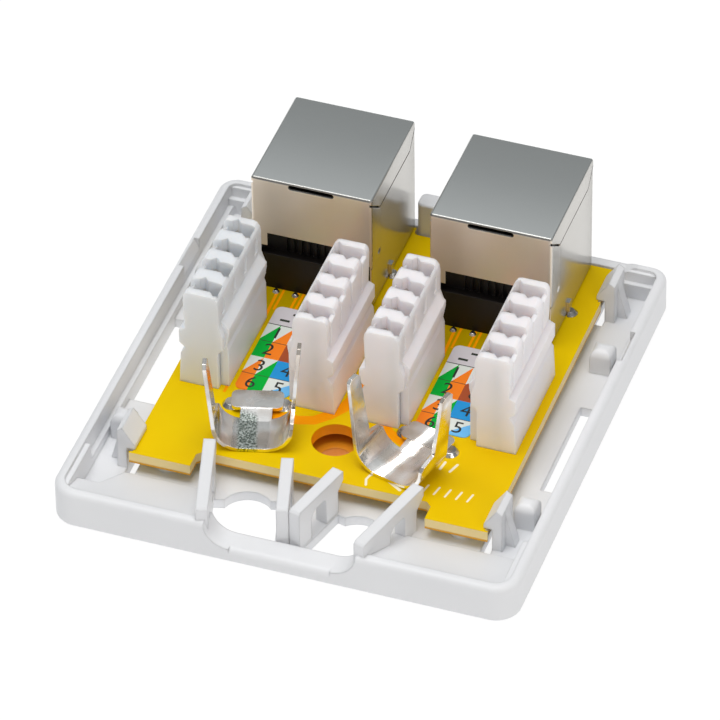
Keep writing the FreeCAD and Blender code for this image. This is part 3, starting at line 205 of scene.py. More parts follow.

# %% [markdown]
# ## White moulded plastic
#
# The tray is ABS from a polished mould, and the terminal blocks are a slightly warmer white nylon. Both
# are satin, with edges rounded by a few tenths of a millimetre. The edges could be rounded in the mesh,
# but the Bevel node does it in the shading alone, so the solids stay as they are. A moulding's skin is
# faintly uneven, and two noises say so: a broad one for the sink of the walls and a fine one for the
# grain. A little light goes into the nylon and comes out again, which softens the shaded sides.


# %% A moulded surface
def moulded_skin(tree, shader, edge, sink, grain, sheen):
    """Rounded edges, broad sinks, fine grain and an uneven sheen: the place and the sinks come back."""
    place = add_node(tree, "ShaderNodeTexCoord")
    edges = add_node(tree, "ShaderNodeBevel", values={"Radius": edge * MM}, samples=4)
    broad = add_node(tree, "ShaderNodeTexNoise", [("Vector", place, "Object")],
                     {"Scale": spaced(11.1), "Detail": 2.0})
    fine = add_node(tree, "ShaderNodeTexNoise", [("Vector", place, "Object")],
                    {"Scale": spaced(0.714), "Detail": 3.0})
    bump = add_node(tree, "ShaderNodeBump", [("Height", broad, "Fac"), ("Normal", edges, "Normal")],
                    {"Strength": sink, "Distance": 0.4 * MM})
    skin = add_node(tree, "ShaderNodeBump", [("Height", fine, "Fac"), ("Normal", bump, "Normal")],
                    {"Strength": grain, "Distance": 0.05 * MM})
    tree.links.new(skin.outputs["Normal"], shader.inputs["Normal"])
    rough = add_node(tree, "ShaderNodeMapRange", [("Value", broad, "Fac")],
                     {"To Min": sheen - 0.06, "To Max": sheen + 0.1})
    tree.links.new(rough.outputs["Result"], shader.inputs["Roughness"])
    return place, broad


# %% Tray: white ABS, as it comes from the mould
# Cool white. Its shaded inner walls go plain grey. Round the screw hole of the board the light that
# came through the yellow board tints the tray orange-brown, so that is painted on with a soft edge.
abs_white, tree, shader = new_material("white_abs_moulded", "#EEEFF1", 0, 0.4)
SCREW_HOLE = (0.15, -11.6)
FLOOR_TOP = 1.4
place, broad = moulded_skin(tree, shader, 0.35, 0.1, 0.05, 0.4)
from_hole = add_node(tree, "ShaderNodeVectorMath", [(0, place, "Object")],
                     {1: (SCREW_HOLE[0] * MM, SCREW_HOLE[1] * MM, FLOOR_TOP * MM)}, operation="DISTANCE")
under_hole = add_node(tree, "ShaderNodeMapRange", [("Value", from_hole, "Value")],
                      {"From Min": 4.6 * MM, "From Max": 6.4 * MM, "To Min": 1.0, "To Max": 0.0})
plain = add_node(tree, "ShaderNodeMix", [("Factor", broad, "Fac")],
                 {"A": hex_colour("#E3E4E7"), "B": hex_colour("#EEEFF1")}, data_type="RGBA")
tinted = add_node(tree, "ShaderNodeMix", [("Factor", under_hole, "Result"), ("A", plain, "Result")],
                  {"B": hex_colour("#F09C20")}, data_type="RGBA")
tree.links.new(tinted.outputs["Result"], shader.inputs["Base Color"])
give(abs_white, "base_tray")

# %% [markdown]
# ## The terminal blocks
#
# The blocks are moulded nylon, which is milky: light leaks through the thin walls into the slots. Glass
# with a cloudy volume would show that, but it renders slowly. Subsurface light does nearly the same for
# walls of a millimetre; a very faint painted glow, an even emission, stands in for light crossing several.
# The leftmost block gets a cooler, darker copy of the same nylon: painted shade and painted cool
# reflection.


# %% Terminal blocks: white nylon, moulded
def milky_nylon(name, dark, light):
    """White nylon between two tones: soft shaded sides, and a faint painted glow so the slots never go
    dark.
    """
    nylon, tree, shader = new_material(name, light, 0, 0.42)
    shader.inputs["Subsurface Weight"].default_value = 1
    shader.inputs["Subsurface Radius"].default_value = (1, 0.92, 0.85)
    shader.inputs["Subsurface Scale"].default_value = 1.2 * MM
    # A faint emission in the nylon's own colour: a painted glow for light that crosses several walls.
    shader.inputs["Emission Color"].default_value = hex_colour(light)
    shader.inputs["Emission Strength"].default_value = 0.035
    _, broad = moulded_skin(tree, shader, 0.2, 0.16, 0.06, 0.42)
    mottle = add_node(tree, "ShaderNodeMix", [("Factor", broad, "Fac")],
                      {"A": hex_colour(dark), "B": hex_colour(light)}, data_type="RGBA")
    tree.links.new(mottle.outputs["Result"], shader.inputs["Base Color"])
    return nylon


give(milky_nylon("warm_white_nylon_moulded", "#EFE9EB", "#F8F4F7"), "terminal_block")
# The leftmost block's darker, cooler copy is painted shade and painted cool reflection on the same nylon.
give(milky_nylon("nylon_painted_cool_shade", "#DFE2E6", "#EAEDF0"), "terminal_block_1")

# %% [markdown]
# ## The circuit board
#
# A glass-fibre sheet under yellow solder mask. Where copper lies under the mask it looks orange, with a
# low step at its edge, and pale ink marks are printed on top. The tracks could be thin strips laid on
# the board, but drawn in the shader they stay flush, as the real ones do. Each track is a run of
# straight lines, and a point's distance to a line tells whether the line covers it.


# %% Draw lines in a shader
LINE_EDGE = 0.04


def line_cover(tree, point, start, end, width):
    """1 on a line from start to end, in millimetres, and 0 off it."""
    ax, ay = start
    bx, by = end
    along = (bx - ax, by - ay, 0)
    squared = along[0] ** 2 + along[1] ** 2
    offset = add_node(tree, "ShaderNodeVectorMath", [(0, point, "Vector")], {1: (ax, ay, 0)},
                      operation="SUBTRACT")
    share = add_node(tree, "ShaderNodeVectorMath", [(0, offset, "Vector")],
                     {1: (along[0] / squared, along[1] / squared, 0)}, operation="DOT_PRODUCT")
    held = add_node(tree, "ShaderNodeClamp", [("Value", share, "Value")])
    nearest = add_node(tree, "ShaderNodeVectorMath", [("Scale", held, "Result")], {0: along},
                       operation="SCALE")
    away = add_node(tree, "ShaderNodeVectorMath", [(0, offset, "Vector"), (1, nearest, "Vector")],
                    operation="DISTANCE")
    return add_node(tree, "ShaderNodeMapRange", [("Value", away, "Value")],
                    {"From Min": width / 2 - LINE_EDGE, "From Max": width / 2 + LINE_EDGE,
                     "To Min": 1.0, "To Max": 0.0})


def lines_cover(tree, point, runs):
    """The union of several runs of lines, each as (width, point, point, ...)."""
    total = None
    for width, *points in runs:
        for start, end in zip(points, points[1:]):
            cover = line_cover(tree, point, start, end, width)
            if total is None:
                total = cover
            else:
                total = add_node(tree, "ShaderNodeMath", [(0, total, 0), (1, cover, 0)],
                                 operation="MAXIMUM")
    return total


# %% [markdown]
# ## The tracks and the ink
#
# Two broad tracks run from the clamps in between the blocks, and thin ones lead from the sockets' pins to
# the blocks. Each is written as its width and its corners. The ink is an arc beside one clamp and a few
# plain strokes. The same thin tracks serve both sockets, so a loop sets them out from each one's middle.

# %% Tracks and ink, in millimetres from the middle of the box
PORT_MIDDLES = (-11.7, 12.2)
tracks = [
    (1.6, (-9.4, -9.6), (-5.5, -9.5), (-3.6, -8.9), (-2.1, -7.4), (-0.9, -5.6), (-0.3, -3.6), (-0.3, 8)),
    (1.5, (3.4, -3.5), (4.4, -6.2), (6.0, -8.2), (8.6, -9.4), (14.0, -9.6)),
]
for middle_x in PORT_MIDDLES:
    tracks.append((0.4, (middle_x - 4.45, -7.2), (middle_x - 4.45, 7.6), (middle_x - 4.6, 13.4)))
    for offset_x in (-3.9, -1.9, -1.25, 1.3, 1.95, 4.4):
        tracks.append((0.34, (middle_x + offset_x, 9.8), (middle_x + offset_x, 13.6)))
silk = [
    (0.3, (6.5, -18.3), (6.2, -17.3), (6.4, -16.5), (6.9, -16.0), (7.6, -15.8), (8.4, -15.9), (9.2, -16.3)),
    (0.42, (8.9, -16.7), (10.8, -17.9)),
    (0.16, (13.0, -13.0), (13.9, -10.4)),
    (0.34, (14.3, -12.6), (14.5, -11.2)),
    (0.34, (15.6, -12.7), (16.1, -11.2)),
]
for tick in range(5):
    silk.append((0.26, (13.6 + 1.45 * tick, -17.3), (13.9 + 1.45 * tick, -15.9)))
print("tracks:", len(tracks), "ink marks:", len(silk))

# %% [markdown]
# ## The finish of the board
#
# The mask is a saturated yellow lacquer, a little cloudy. It is orange over copper, and olive in front
# of the sockets, where hardly any light arrives. That shade could be left to the lamps alone, but the
# glow between so many pale walls fills it in, so part of it is painted. The cut edge is bare fibre.

# %% Board: glass-fibre sheet under glossy yellow solder mask
# To the eye: strong even yellow with hardly any white gloss.
board_mask, tree, shader = new_material("yellow_solder_mask", "#F0CC00", 0, 0.34)
shader.inputs["Specular IOR Level"].default_value = 0.07
place = add_node(tree, "ShaderNodeTexCoord")
flat = add_node(tree, "ShaderNodeVectorMath", [(0, place, "Object")], {1: (1000, 1000, 0)},
                operation="MULTIPLY")
copper = lines_cover(tree, flat, tracks)
ink = lines_cover(tree, flat, silk)
cloud = add_node(tree, "ShaderNodeTexNoise", [("Vector", place, "Object")],
                 {"Scale": spaced(14.3), "Detail": 3.0})
weave = add_node(tree, "ShaderNodeTexNoise", [("Vector", place, "Object")],
                 {"Scale": spaced(0.625), "Detail": 2.0})
yellow = add_node(tree, "ShaderNodeMix", [("Factor", cloud, "Fac")],
                  {"A": hex_colour("#EED000"), "B": hex_colour("#EABA00")}, data_type="RGBA")
print("nodes for the printed lines:", len(tree.nodes))

# %% Board: the shade in front of the sockets
depth_parts = add_node(tree, "ShaderNodeSeparateXYZ", [(0, flat, "Vector")])
toward_sockets = add_node(tree, "ShaderNodeMapRange", [("Value", depth_parts, "Y")],
                          {"From Min": 4.0, "From Max": 11.0, "To Min": 0.0, "To Max": 0.7})
beyond_fronts = add_node(tree, "ShaderNodeMapRange", [("Value", depth_parts, "Y")],
                         {"From Min": 13.5, "From Max": 16.0, "To Min": 1.0, "To Max": 0.0})
beside_sockets = add_node(tree, "ShaderNodeMapRange", [("Value", depth_parts, "X")],
                          {"From Min": 17.0, "From Max": 20.0, "To Min": 1.0, "To Max": 0.0})
in_front = add_node(tree, "ShaderNodeMath", [(0, toward_sockets, "Result"), (1, beyond_fronts, "Result")],
                    operation="MULTIPLY")
shade = add_node(tree, "ShaderNodeMath", [(0, in_front, 0), (1, beside_sockets, "Result")],
                 operation="MULTIPLY")
olive = add_node(tree, "ShaderNodeMix", [("Factor", shade, 0), ("A", yellow, "Result")],
                 {"B": hex_colour("#9A8200")}, data_type="RGBA")

# %% Board: copper and ink over the yellow
over_copper = add_node(tree, "ShaderNodeMix", [("Factor", copper, 0), ("A", olive, "Result")],
                       {"B": hex_colour("#FFA000")}, data_type="RGBA")
printed = add_node(tree, "ShaderNodeMix", [("Factor", ink, 0), ("A", over_copper, "Result")],
                   {"B": hex_colour("#FBF3D8")}, data_type="RGBA")

# %% Board: the cut edge, pale fibre with an amber line where the lower mask ends, painted light in the hole
SCREW_HOLE_REACH = 4.0
facing = add_node(tree, "ShaderNodeNewGeometry")
facing_parts = add_node(tree, "ShaderNodeSeparateXYZ", [(0, facing, "True Normal")])
upright = add_node(tree, "ShaderNodeMath", [(0, facing_parts, "Z")], operation="ABSOLUTE")
is_edge = add_node(tree, "ShaderNodeMath", [(0, upright, 0)], {1: 0.5}, operation="LESS_THAN")
height_parts = add_node(tree, "ShaderNodeSeparateXYZ", [(0, place, "Object")])
low_line = add_node(tree, "ShaderNodeMapRange", [("Value", height_parts, "Z")],
                    {"From Min": 3.2 * MM, "From Max": 3.4 * MM})
fibre = add_node(tree, "ShaderNodeMix", [("Factor", low_line, "Result")],
                 {"A": hex_colour("#E0A030"), "B": hex_colour("#FAE2A4")}, data_type="RGBA")
hole_away = add_node(tree, "ShaderNodeVectorMath", [(0, flat, "Vector")], {1: (*SCREW_HOLE, 0)},
                     operation="DISTANCE")
in_hole = add_node(tree, "ShaderNodeMath", [(0, hole_away, "Value")], {1: SCREW_HOLE_REACH},
                   operation="LESS_THAN")
# Inside the screw hole the fibre is painted orange: painted light, as if lit through the yellow board.
fibre_with_painted_hole_light = add_node(tree, "ShaderNodeMix", [("Factor", in_hole, 0), ("A", fibre, "Result")],
                       {"B": hex_colour("#FFA812")}, data_type="RGBA")
board_colour = add_node(tree, "ShaderNodeMix",
                        [("Factor", is_edge, 0), ("A", printed, "Result"), ("B", fibre_with_painted_hole_light, "Result")],
                        data_type="RGBA")
tree.links.new(board_colour.outputs["Result"], shader.inputs["Base Color"])

# %% Board: the step at each track, and the weave that shows through the mask
edges = add_node(tree, "ShaderNodeBevel", values={"Radius": 0.08 * MM}, samples=4)
step = add_node(tree, "ShaderNodeBump", [("Height", copper, 0), ("Normal", edges, "Normal")],
                {"Strength": 0.5, "Distance": 0.05 * MM})
skin = add_node(tree, "ShaderNodeBump", [("Height", weave, "Fac"), ("Normal", step, "Normal")],
                {"Strength": 0.08, "Distance": 0.05 * MM})
tree.links.new(skin.outputs["Normal"], shader.inputs["Normal"])
give(board_mask, "circuit_board")

# %% [markdown]
# ## The shields
#
# Each socket's shield is folded from nickel-plated sheet with a satin, faintly grained surface. Metal
# gets its look from what it mirrors: the dark back of the studio in the top, the terminal blocks and
# the yellow board in the front and sides. So the work here is in the roughness, and in folds that catch
# a thin line of light. The top is bowed by a hair in its normals, which makes its grey fade evenly.

# %% Shields: satin nickel-plated sheet
# Neutral grey with a hint of warmth; grain too fine to see one by one, drawn coarser than it is.
BOW = 13.0
BOW_MIDDLE = 20
nickel, tree, shader = new_material("satin_nickel_plate", "#CFCCC6", 0.86, 0.24)
shader.inputs["Specular IOR Level"].default_value = 0
place = add_node(tree, "ShaderNodeTexCoord")
edges = add_node(tree, "ShaderNodeBevel", values={"Radius": 0.07 * MM}, samples=6)
bow = add_node(tree, "ShaderNodeVectorMath", [(0, place, "Object")],
               {1: (0, BOW, 0), 2: (0, -BOW * BOW_MIDDLE * MM, 0)}, operation="MULTIPLY_ADD")
bowed = add_node(tree, "ShaderNodeVectorMath", [(0, edges, "Normal"), (1, bow, "Vector")],
                 operation="ADD")
grain = add_node(tree, "ShaderNodeTexNoise", [("Vector", place, "Object")],
                 {"Scale": spaced(0.385), "Detail": 3.0, "Roughness": 0.7})
waves = add_node(tree, "ShaderNodeTexNoise", [("Vector", place, "Object")],
                 {"Scale": spaced(8.33), "Detail": 1.0})
dents = add_node(tree, "ShaderNodeBump", [("Height", waves, "Fac"), ("Normal", bowed, "Vector")],
                 {"Strength": 0.14, "Distance": 0.2 * MM})
skin = add_node(tree, "ShaderNodeBump", [("Height", grain, "Fac"), ("Normal", dents, "Normal")],
                {"Strength": 0.06, "Distance": 0.03 * MM})
tree.links.new(skin.outputs["Normal"], shader.inputs["Normal"])

# %% Shields: a duller front, and painted shade on the fold above it
facing = add_node(tree, "ShaderNodeNewGeometry")
facing_parts = add_node(tree, "ShaderNodeSeparateXYZ", [(0, facing, "True Normal")])
to_front = add_node(tree, "ShaderNodeMapRange", [("Value", facing_parts, "Y")],
                    {"From Min": -0.3, "From Max": -0.9})
to_top = add_node(tree, "ShaderNodeMapRange", [("Value", facing_parts, "Z")],
                  {"From Min": 0.3, "From Max": 0.9})
fold_parts = add_node(tree, "ShaderNodeSeparateXYZ", [(0, edges, "Normal")])
front_of_fold = add_node(tree, "ShaderNodeMath", [(0, fold_parts, "Y"), (1, fold_parts, "Z")],
                         operation="MULTIPLY")
fold_shade_mask = add_node(tree, "ShaderNodeMapRange", [("Value", front_of_fold, 0)],
                      {"From Min": -0.1, "From Max": -0.4})
sheen = add_node(tree, "ShaderNodeMapRange", [("Value", grain, "Fac")],
                 {"To Min": 0.15, "To Max": 0.3})
front_sheen = add_node(tree, "ShaderNodeMath", [(0, to_front, "Result"), (2, sheen, "Result")],
                       {1: 0.14}, operation="MULTIPLY_ADD")
tree.links.new(front_sheen.outputs[0], shader.inputs["Roughness"])

# %% Shields: painted reflections, warm on the front and cool on the top
tone = add_node(tree, "ShaderNodeMix", [("Factor", waves, "Fac")],
                {"A": hex_colour("#BFBCB6"), "B": hex_colour("#CBC8C3")}, data_type="RGBA")
# The warm front and the cool top are painted reflection: one nickel tinted by the way each face turns.
front_painted_reflection = add_node(tree, "ShaderNodeMix", [("Factor", to_front, "Result"), ("A", tone, "Result")],
                {"B": hex_colour("#EADDCC")}, data_type="RGBA")
top_painted_reflection = add_node(tree, "ShaderNodeMix", [("Factor", to_top, "Result"), ("A", front_painted_reflection, "Result")],
                {"B": hex_colour("#CED2D2")}, data_type="RGBA")
# The rounded fold at the top's front edge is painted darker: painted shade that dims the line of light it
# catches.
fold_painted_shade = add_node(tree, "ShaderNodeMix", [("Factor", fold_shade_mask, "Result"), ("A", top_painted_reflection, "Result")],
                  {"B": hex_colour("#8E8C88")}, data_type="RGBA")

# %% [markdown]
# ## The joints in the shields' sides
#
# Where the sheet's flaps meet on the right side, a dark line runs back and then up to the rear corner.
# The solids have it as a shallow groove, too shallow to look dark by itself on a side seen at a slant,
# so the line is darkened here. It stops being metal there, because even black metal mirrors at a slant.

# %% Shields: dark joints on the right side, in millimetres along the box and up
parts = add_node(tree, "ShaderNodeSeparateXYZ", [(0, place, "Object")])
side_view = add_node(tree, "ShaderNodeCombineXYZ", [("X", parts, "Y"), ("Y", parts, "Z")])
side_mm = add_node(tree, "ShaderNodeVectorMath", [(0, side_view, "Vector")], {1: (1000, 1000, 0)},
                   operation="MULTIPLY")
to_right = add_node(tree, "ShaderNodeMath", [(0, facing_parts, "X")], {1: 0.5}, operation="GREATER_THAN")
top_seam = lines_cover(tree, side_mm, [(0.5, (17.2, 18.95), (28.6, 18.95), (30.7, 21.4))])
low_seam = lines_cover(tree, side_mm, [(0.3, (13.7, 11.2), (17.2, 11.2), (17.2, 18.95))])
low_faint = add_node(tree, "ShaderNodeMath", [(0, low_seam, 0)], {1: 0.45}, operation="MULTIPLY")
seams = add_node(tree, "ShaderNodeMath", [(0, top_seam, 0), (1, low_faint, 0)], operation="MAXIMUM")
right_seams = add_node(tree, "ShaderNodeMath", [(0, seams, 0), (1, to_right, 0)], operation="MULTIPLY")
seamed = add_node(tree, "ShaderNodeMix", [("Factor", right_seams, 0), ("A", fold_painted_shade, "Result")],
                  {"B": hex_colour("#241E1A")}, data_type="RGBA")
tree.links.new(seamed.outputs["Result"], shader.inputs["Base Color"])
bare_metal = add_node(tree, "ShaderNodeMapRange", [("Value", right_seams, 0)],
                      {"To Min": 0.86, "To Max": 0.0})
tree.links.new(bare_metal.outputs["Result"], shader.inputs["Metallic"])
give(nickel, "jack_shield")

# %% [markdown]
# ## The sockets
#
# The sockets and their pin carriers are black nylon filled with glass. A plain black would swallow their
# edges, so the skin of the white mouldings is used again with more grain, and rounded edges catch the
# lamps.

# %% Sockets: black glass-filled nylon, moulded
# Near black, with a dull grain that catches a few soft glints at its corners.
black_nylon, tree, shader = new_material("black_filled_nylon", "#100C0B", 0, 0.45)
shader.inputs["Specular IOR Level"].default_value = 0.35
_, broad = moulded_skin(tree, shader, 0.12, 0.2, 0.2, 0.42)
tone = add_node(tree, "ShaderNodeMix", [("Factor", broad, "Fac")],
                {"A": hex_colour("#0A0706"), "B": hex_colour("#171210")}, data_type="RGBA")
tree.links.new(tone.outputs["Result"], shader.inputs["Base Color"])
give(black_nylon, "jack_housing", "jack_insert")

# %% [markdown]
# ## The bright metal
#
# The clamps are bright tinned steel: almost a mirror, but mottled by its crystals and smeared by the
# rolling. A perfect mirror would look like glass, so spots and swells bend what it mirrors. The solder
# is the same metal frozen from a drop, the terminals are duller, and one function serves them all.


# %% A straight band across a piece
def band_cover(tree, place, slope, low, high, soft):
    """1 where x + slope * y, in millimetres, lies between low and high, fading over soft."""
    across = add_node(tree, "ShaderNodeVectorMath", [(0, place, "Object")], {1: (1000, 1000 * slope, 0)},
                      operation="DOT_PRODUCT")
    off_middle = add_node(tree, "ShaderNodeMath", [(0, across, "Value")], {1: (low + high) / 2},
                          operation="SUBTRACT")
    off_size = add_node(tree, "ShaderNodeMath", [(0, off_middle, 0)], operation="ABSOLUTE")
    half = (high - low) / 2
    return add_node(tree, "ShaderNodeMapRange", [("Value", off_size, 0)],
                    {"From Min": half - soft, "From Max": half + soft, "To Min": 1.0, "To Max": 0.0})


# %% A bright metal surface
# The broad swells of a rolled sheet are this share as close together as its spots.
SWELL_SHARE = 0.18


def bright_metal(name, colours, roughness, mottle_size, mottle, edge):
    """A metal with rounded edges and a mottle of a size in millimetres, and its parts for more work."""
    material, tree, shader = new_material(name, colours[0], 1, roughness)
    place = add_node(tree, "ShaderNodeTexCoord")
    edges = add_node(tree, "ShaderNodeBevel", values={"Radius": edge * MM}, samples=4)
    spots = add_node(tree, "ShaderNodeTexNoise", [("Vector", place, "Object")],
                     {"Scale": spaced(mottle_size), "Detail": 4.0, "Roughness": 0.6})
    swell = add_node(tree, "ShaderNodeTexNoise", [("Vector", place, "Object")],
                     {"Scale": SWELL_SHARE * spaced(mottle_size), "Detail": 1.0})
    wave = add_node(tree, "ShaderNodeBump", [("Height", swell, "Fac"), ("Normal", edges, "Normal")],
                    {"Strength": mottle, "Distance": 0.3 * MM})
    skin = add_node(tree, "ShaderNodeBump", [("Height", spots, "Fac"), ("Normal", wave, "Normal")],
                    {"Strength": mottle, "Distance": 0.04 * MM})
    tree.links.new(skin.outputs["Normal"], shader.inputs["Normal"])
    sheen = add_node(tree, "ShaderNodeMapRange", [("Value", spots, "Fac")],
                     {"From Min": 0.35, "From Max": 0.65,
                      "To Min": roughness * 0.6, "To Max": roughness * 1.8})
    tree.links.new(sheen.outputs["Result"], shader.inputs["Roughness"])
    patches = add_node(tree, "ShaderNodeMapRange", [("Value", swell, "Fac")],
                       {"From Min": 0.4, "From Max": 0.6})
    tone = add_node(tree, "ShaderNodeMix", [("Factor", patches, "Result")],
                    {"A": hex_colour(colours[0]), "B": hex_colour(colours[1])}, data_type="RGBA")
    tree.links.new(tone.outputs["Result"], shader.inputs["Base Color"])
    return material, tree, shader, place, skin, tone


# %% [markdown]
# ## The clamps
#
# The left clamp has a band of grey-green speckle up its middle: painted reflection of a grained thing it
# mirrors. The right one has a smooth band that mirrors a lamp as white. Both are drawn on the one tin by
# where they lie in the box: a coarse sharp noise for the painted speckle, and a normal that leans forward
# for the white band.

# %% Clamps: bright tinned steel
# Hard white streaks beside grey and beige.
tin, tree, shader, place, skin, tone = bright_metal(
    "bright_tin_plate", ("#DCD2C8", "#FFFEFC"), 0.11, 0.7, 0.45, 0.1)
# A band up the left clamp's front is painted reflection: grey-green speckle for a grained thing it mirrors.
band = band_cover(tree, place, 0.3456, -16.8, -14.2, 0.25)
front_parts = add_node(tree, "ShaderNodeSeparateXYZ", [(0, place, "Object")])
front_wall = add_node(tree, "ShaderNodeMapRange", [("Value", front_parts, "Y")],
                      {"From Min": -11.4 * MM, "From Max": -10.4 * MM, "To Min": 1.0, "To Max": 0.0})
painted_reflection_mask = add_node(tree, "ShaderNodeMath", [(0, band, 0), (1, front_wall, "Result")], operation="MULTIPLY")
reflected_grain = add_node(tree, "ShaderNodeTexNoise", [("Vector", place, "Object")],
                    {"Scale": spaced(0.238), "Detail": 2.0})
contrast = add_node(tree, "ShaderNodeMapRange", [("Value", reflected_grain, "Fac")],
                    {"From Min": 0.38, "From Max": 0.62})
reflected_speckle = add_node(tree, "ShaderNodeMix", [("Factor", contrast, "Result")],
                   {"A": hex_colour("#6A776D"), "B": hex_colour("#F0F8F2")}, data_type="RGBA")
tin_with_painted_reflection = add_node(tree, "ShaderNodeMix",
                   [("Factor", painted_reflection_mask, 0), ("A", tone, "Result"), ("B", reflected_speckle, "Result")],
                   data_type="RGBA")
tree.links.new(tin_with_painted_reflection.outputs["Result"], shader.inputs["Base Color"])

# %% Clamps: the white band on the right one
glint = band_cover(tree, place, -0.39, 13.4, 15.1, 0.45)
lean = add_node(tree, "ShaderNodeVectorMath", [("Scale", glint, "Result")], {0: (0, -0.37, 0)},
                operation="SCALE")
leant = add_node(tree, "ShaderNodeVectorMath", [(0, skin, "Normal"), (1, lean, "Vector")],
                 operation="ADD")
straight = add_node(tree, "ShaderNodeVectorMath", [(0, leant, "Vector")], operation="NORMALIZE")
tree.links.new(straight.outputs["Vector"], shader.inputs["Normal"])
give(tin, "shield_clamp")

# %% [markdown]
# ## Solder, terminals and contact wires
#
# Small pieces still need their own metal, because the eye reads them as sparks of colour: white stars on
# the solder, grey in the slots and gold in the sockets. Only the tones, the gloss and the mottle differ.

# %% Solder, terminals and contact wires
# Solder as it froze: small white stars of light on grey drops.
give(bright_metal("solder_as_frozen", ("#A9A7A4", "#FCFBF9"), 0.1, 0.5, 0.6, 0.12)[0], "solder_joints")
# Tinned bronze, duller: grey blades deep in the white slots.
give(bright_metal("tinned_bronze_strip", ("#BDB9B2", "#CFCBC5"), 0.25, 0.4, 0.25, 0.05)[0],
     "terminal_contacts")
# Gold plate on spring wire: thin warm glints inside the sockets.
give(bright_metal("gold_plated_wire", ("#E3B45C", "#F0C878"), 0.2, 0.3, 0.1, 0.04)[0], "jack_contacts")

# %% [markdown]
# ## The wiring labels
#
# A sticker between each pair of blocks shows which coloured wire goes to which terminal. The print is
# plain fields: full squares for solid colours and half squares for striped wires, with a grey heading.
# A picture could be laid on it, but a field is only a box, or half of one below its diagonal, so the
# shader draws each from its corners. The heading holds plain strokes.

# %% Fields of print, in millimetres from the middle of a label's column line
PALE = "#E4EAE4"
GREEN = "#00B43C"
ORANGE = "#FF8826"
BLUE = "#2C98DC"
LIGHT_BLUE = "#74C2F8"
BROWN = "#AC5432"
HEADING = "#DAD5DA"
LINE = "#3A4038"
ROW_EDGES = (6.85, 3.45, 0.3, -3.1, -6.4)
fields = [
    (-4.2, 4.2, ROW_EDGES[0], 10.8, HEADING, False),
    (-4.2, 4.2, ROW_EDGES[4], ROW_EDGES[0], PALE, False),
    (-3.75, -1.85, ROW_EDGES[1], ROW_EDGES[0], GREEN, True),
    (-1.85, 0.05, ROW_EDGES[1], ROW_EDGES[0], ORANGE, True),
    (0.05, 3.75, ROW_EDGES[1], ROW_EDGES[0], BROWN, True),
    (-3.75, -1.85, ROW_EDGES[2], ROW_EDGES[1], GREEN, False),
    (-1.85, 0.05, ROW_EDGES[2], ROW_EDGES[1], ORANGE, False),
    (0.05, 3.75, ROW_EDGES[2], ROW_EDGES[1], BROWN, False),
    (-3.75, -1.85, ROW_EDGES[3], ROW_EDGES[2], ORANGE, True),
    (-1.85, 0.05, ROW_EDGES[3], ROW_EDGES[2], GREEN, True),
    (0.05, 3.75, ROW_EDGES[3], ROW_EDGES[2], BLUE, False),
    (-3.75, -1.85, ROW_EDGES[4], ROW_EDGES[3], ORANGE, False),
    (-1.85, 0.05, ROW_EDGES[4], ROW_EDGES[3], GREEN, False),
    (0.05, 3.75, ROW_EDGES[4], ROW_EDGES[3], LIGHT_BLUE, True),
    (-3.7, 3.7, ROW_EDGES[0] - 0.07, ROW_EDGES[0] + 0.07, LINE, False),
    (-3.7, 0.05, ROW_EDGES[1] - 0.05, ROW_EDGES[1] + 0.05, LINE, False),
    (-3.7, 3.7, ROW_EDGES[3] - 0.05, ROW_EDGES[3] + 0.05, LINE, False),
    (-1.1, 1.4, 9.1, 9.5, LINE, False),
    (-2.4, -1.1, 7.7, 8.1, LINE, False),
    (0.2, 1.6, 7.7, 8.1, LINE, False),
]


# %% Draw one field
def field_cover(tree, point, left, right, low, high, half):
    """1 inside a box, or inside its half below the rising diagonal, and 0 outside."""
    half_width = (right - left) / 2
    half_height = (high - low) / 2
    scaled = add_node(
        tree, "ShaderNodeVectorMath", [(0, point, "Vector")],
        {1: (1 / half_width, 1 / half_height, 0),
         2: (-(left + right) / 2 / half_width, -(low + high) / 2 / half_height, 0)},
        operation="MULTIPLY_ADD",
    )
    size = add_node(tree, "ShaderNodeVectorMath", [(0, scaled, "Vector")], operation="ABSOLUTE")
    sides = add_node(tree, "ShaderNodeSeparateXYZ", [(0, size, "Vector")])
    larger = add_node(tree, "ShaderNodeMath", [(0, sides, "X"), (1, sides, "Y")], operation="MAXIMUM")
    inside = add_node(tree, "ShaderNodeMath", [(0, larger, 0)], {1: 1.0}, operation="LESS_THAN")
    if not half:
        return inside
    slope = add_node(tree, "ShaderNodeVectorMath", [(0, scaled, "Vector")], {1: (1, -1, 0)},
                     operation="DOT_PRODUCT")
    below = add_node(tree, "ShaderNodeMath", [(0, slope, "Value")], {1: 0.0}, operation="GREATER_THAN")
    return add_node(tree, "ShaderNodeMath", [(0, inside, 0), (1, below, 0)], operation="MULTIPLY")


# %% [markdown]
# ## The paper of the labels
#
# Both labels share one print. Two materials could hold it twice, but one does for both when each point
# is measured from the middle of its own label: first from the line half way between the labels, and then
# less half their distance on its own side. The fields are laid over the pale paper in the list's order.

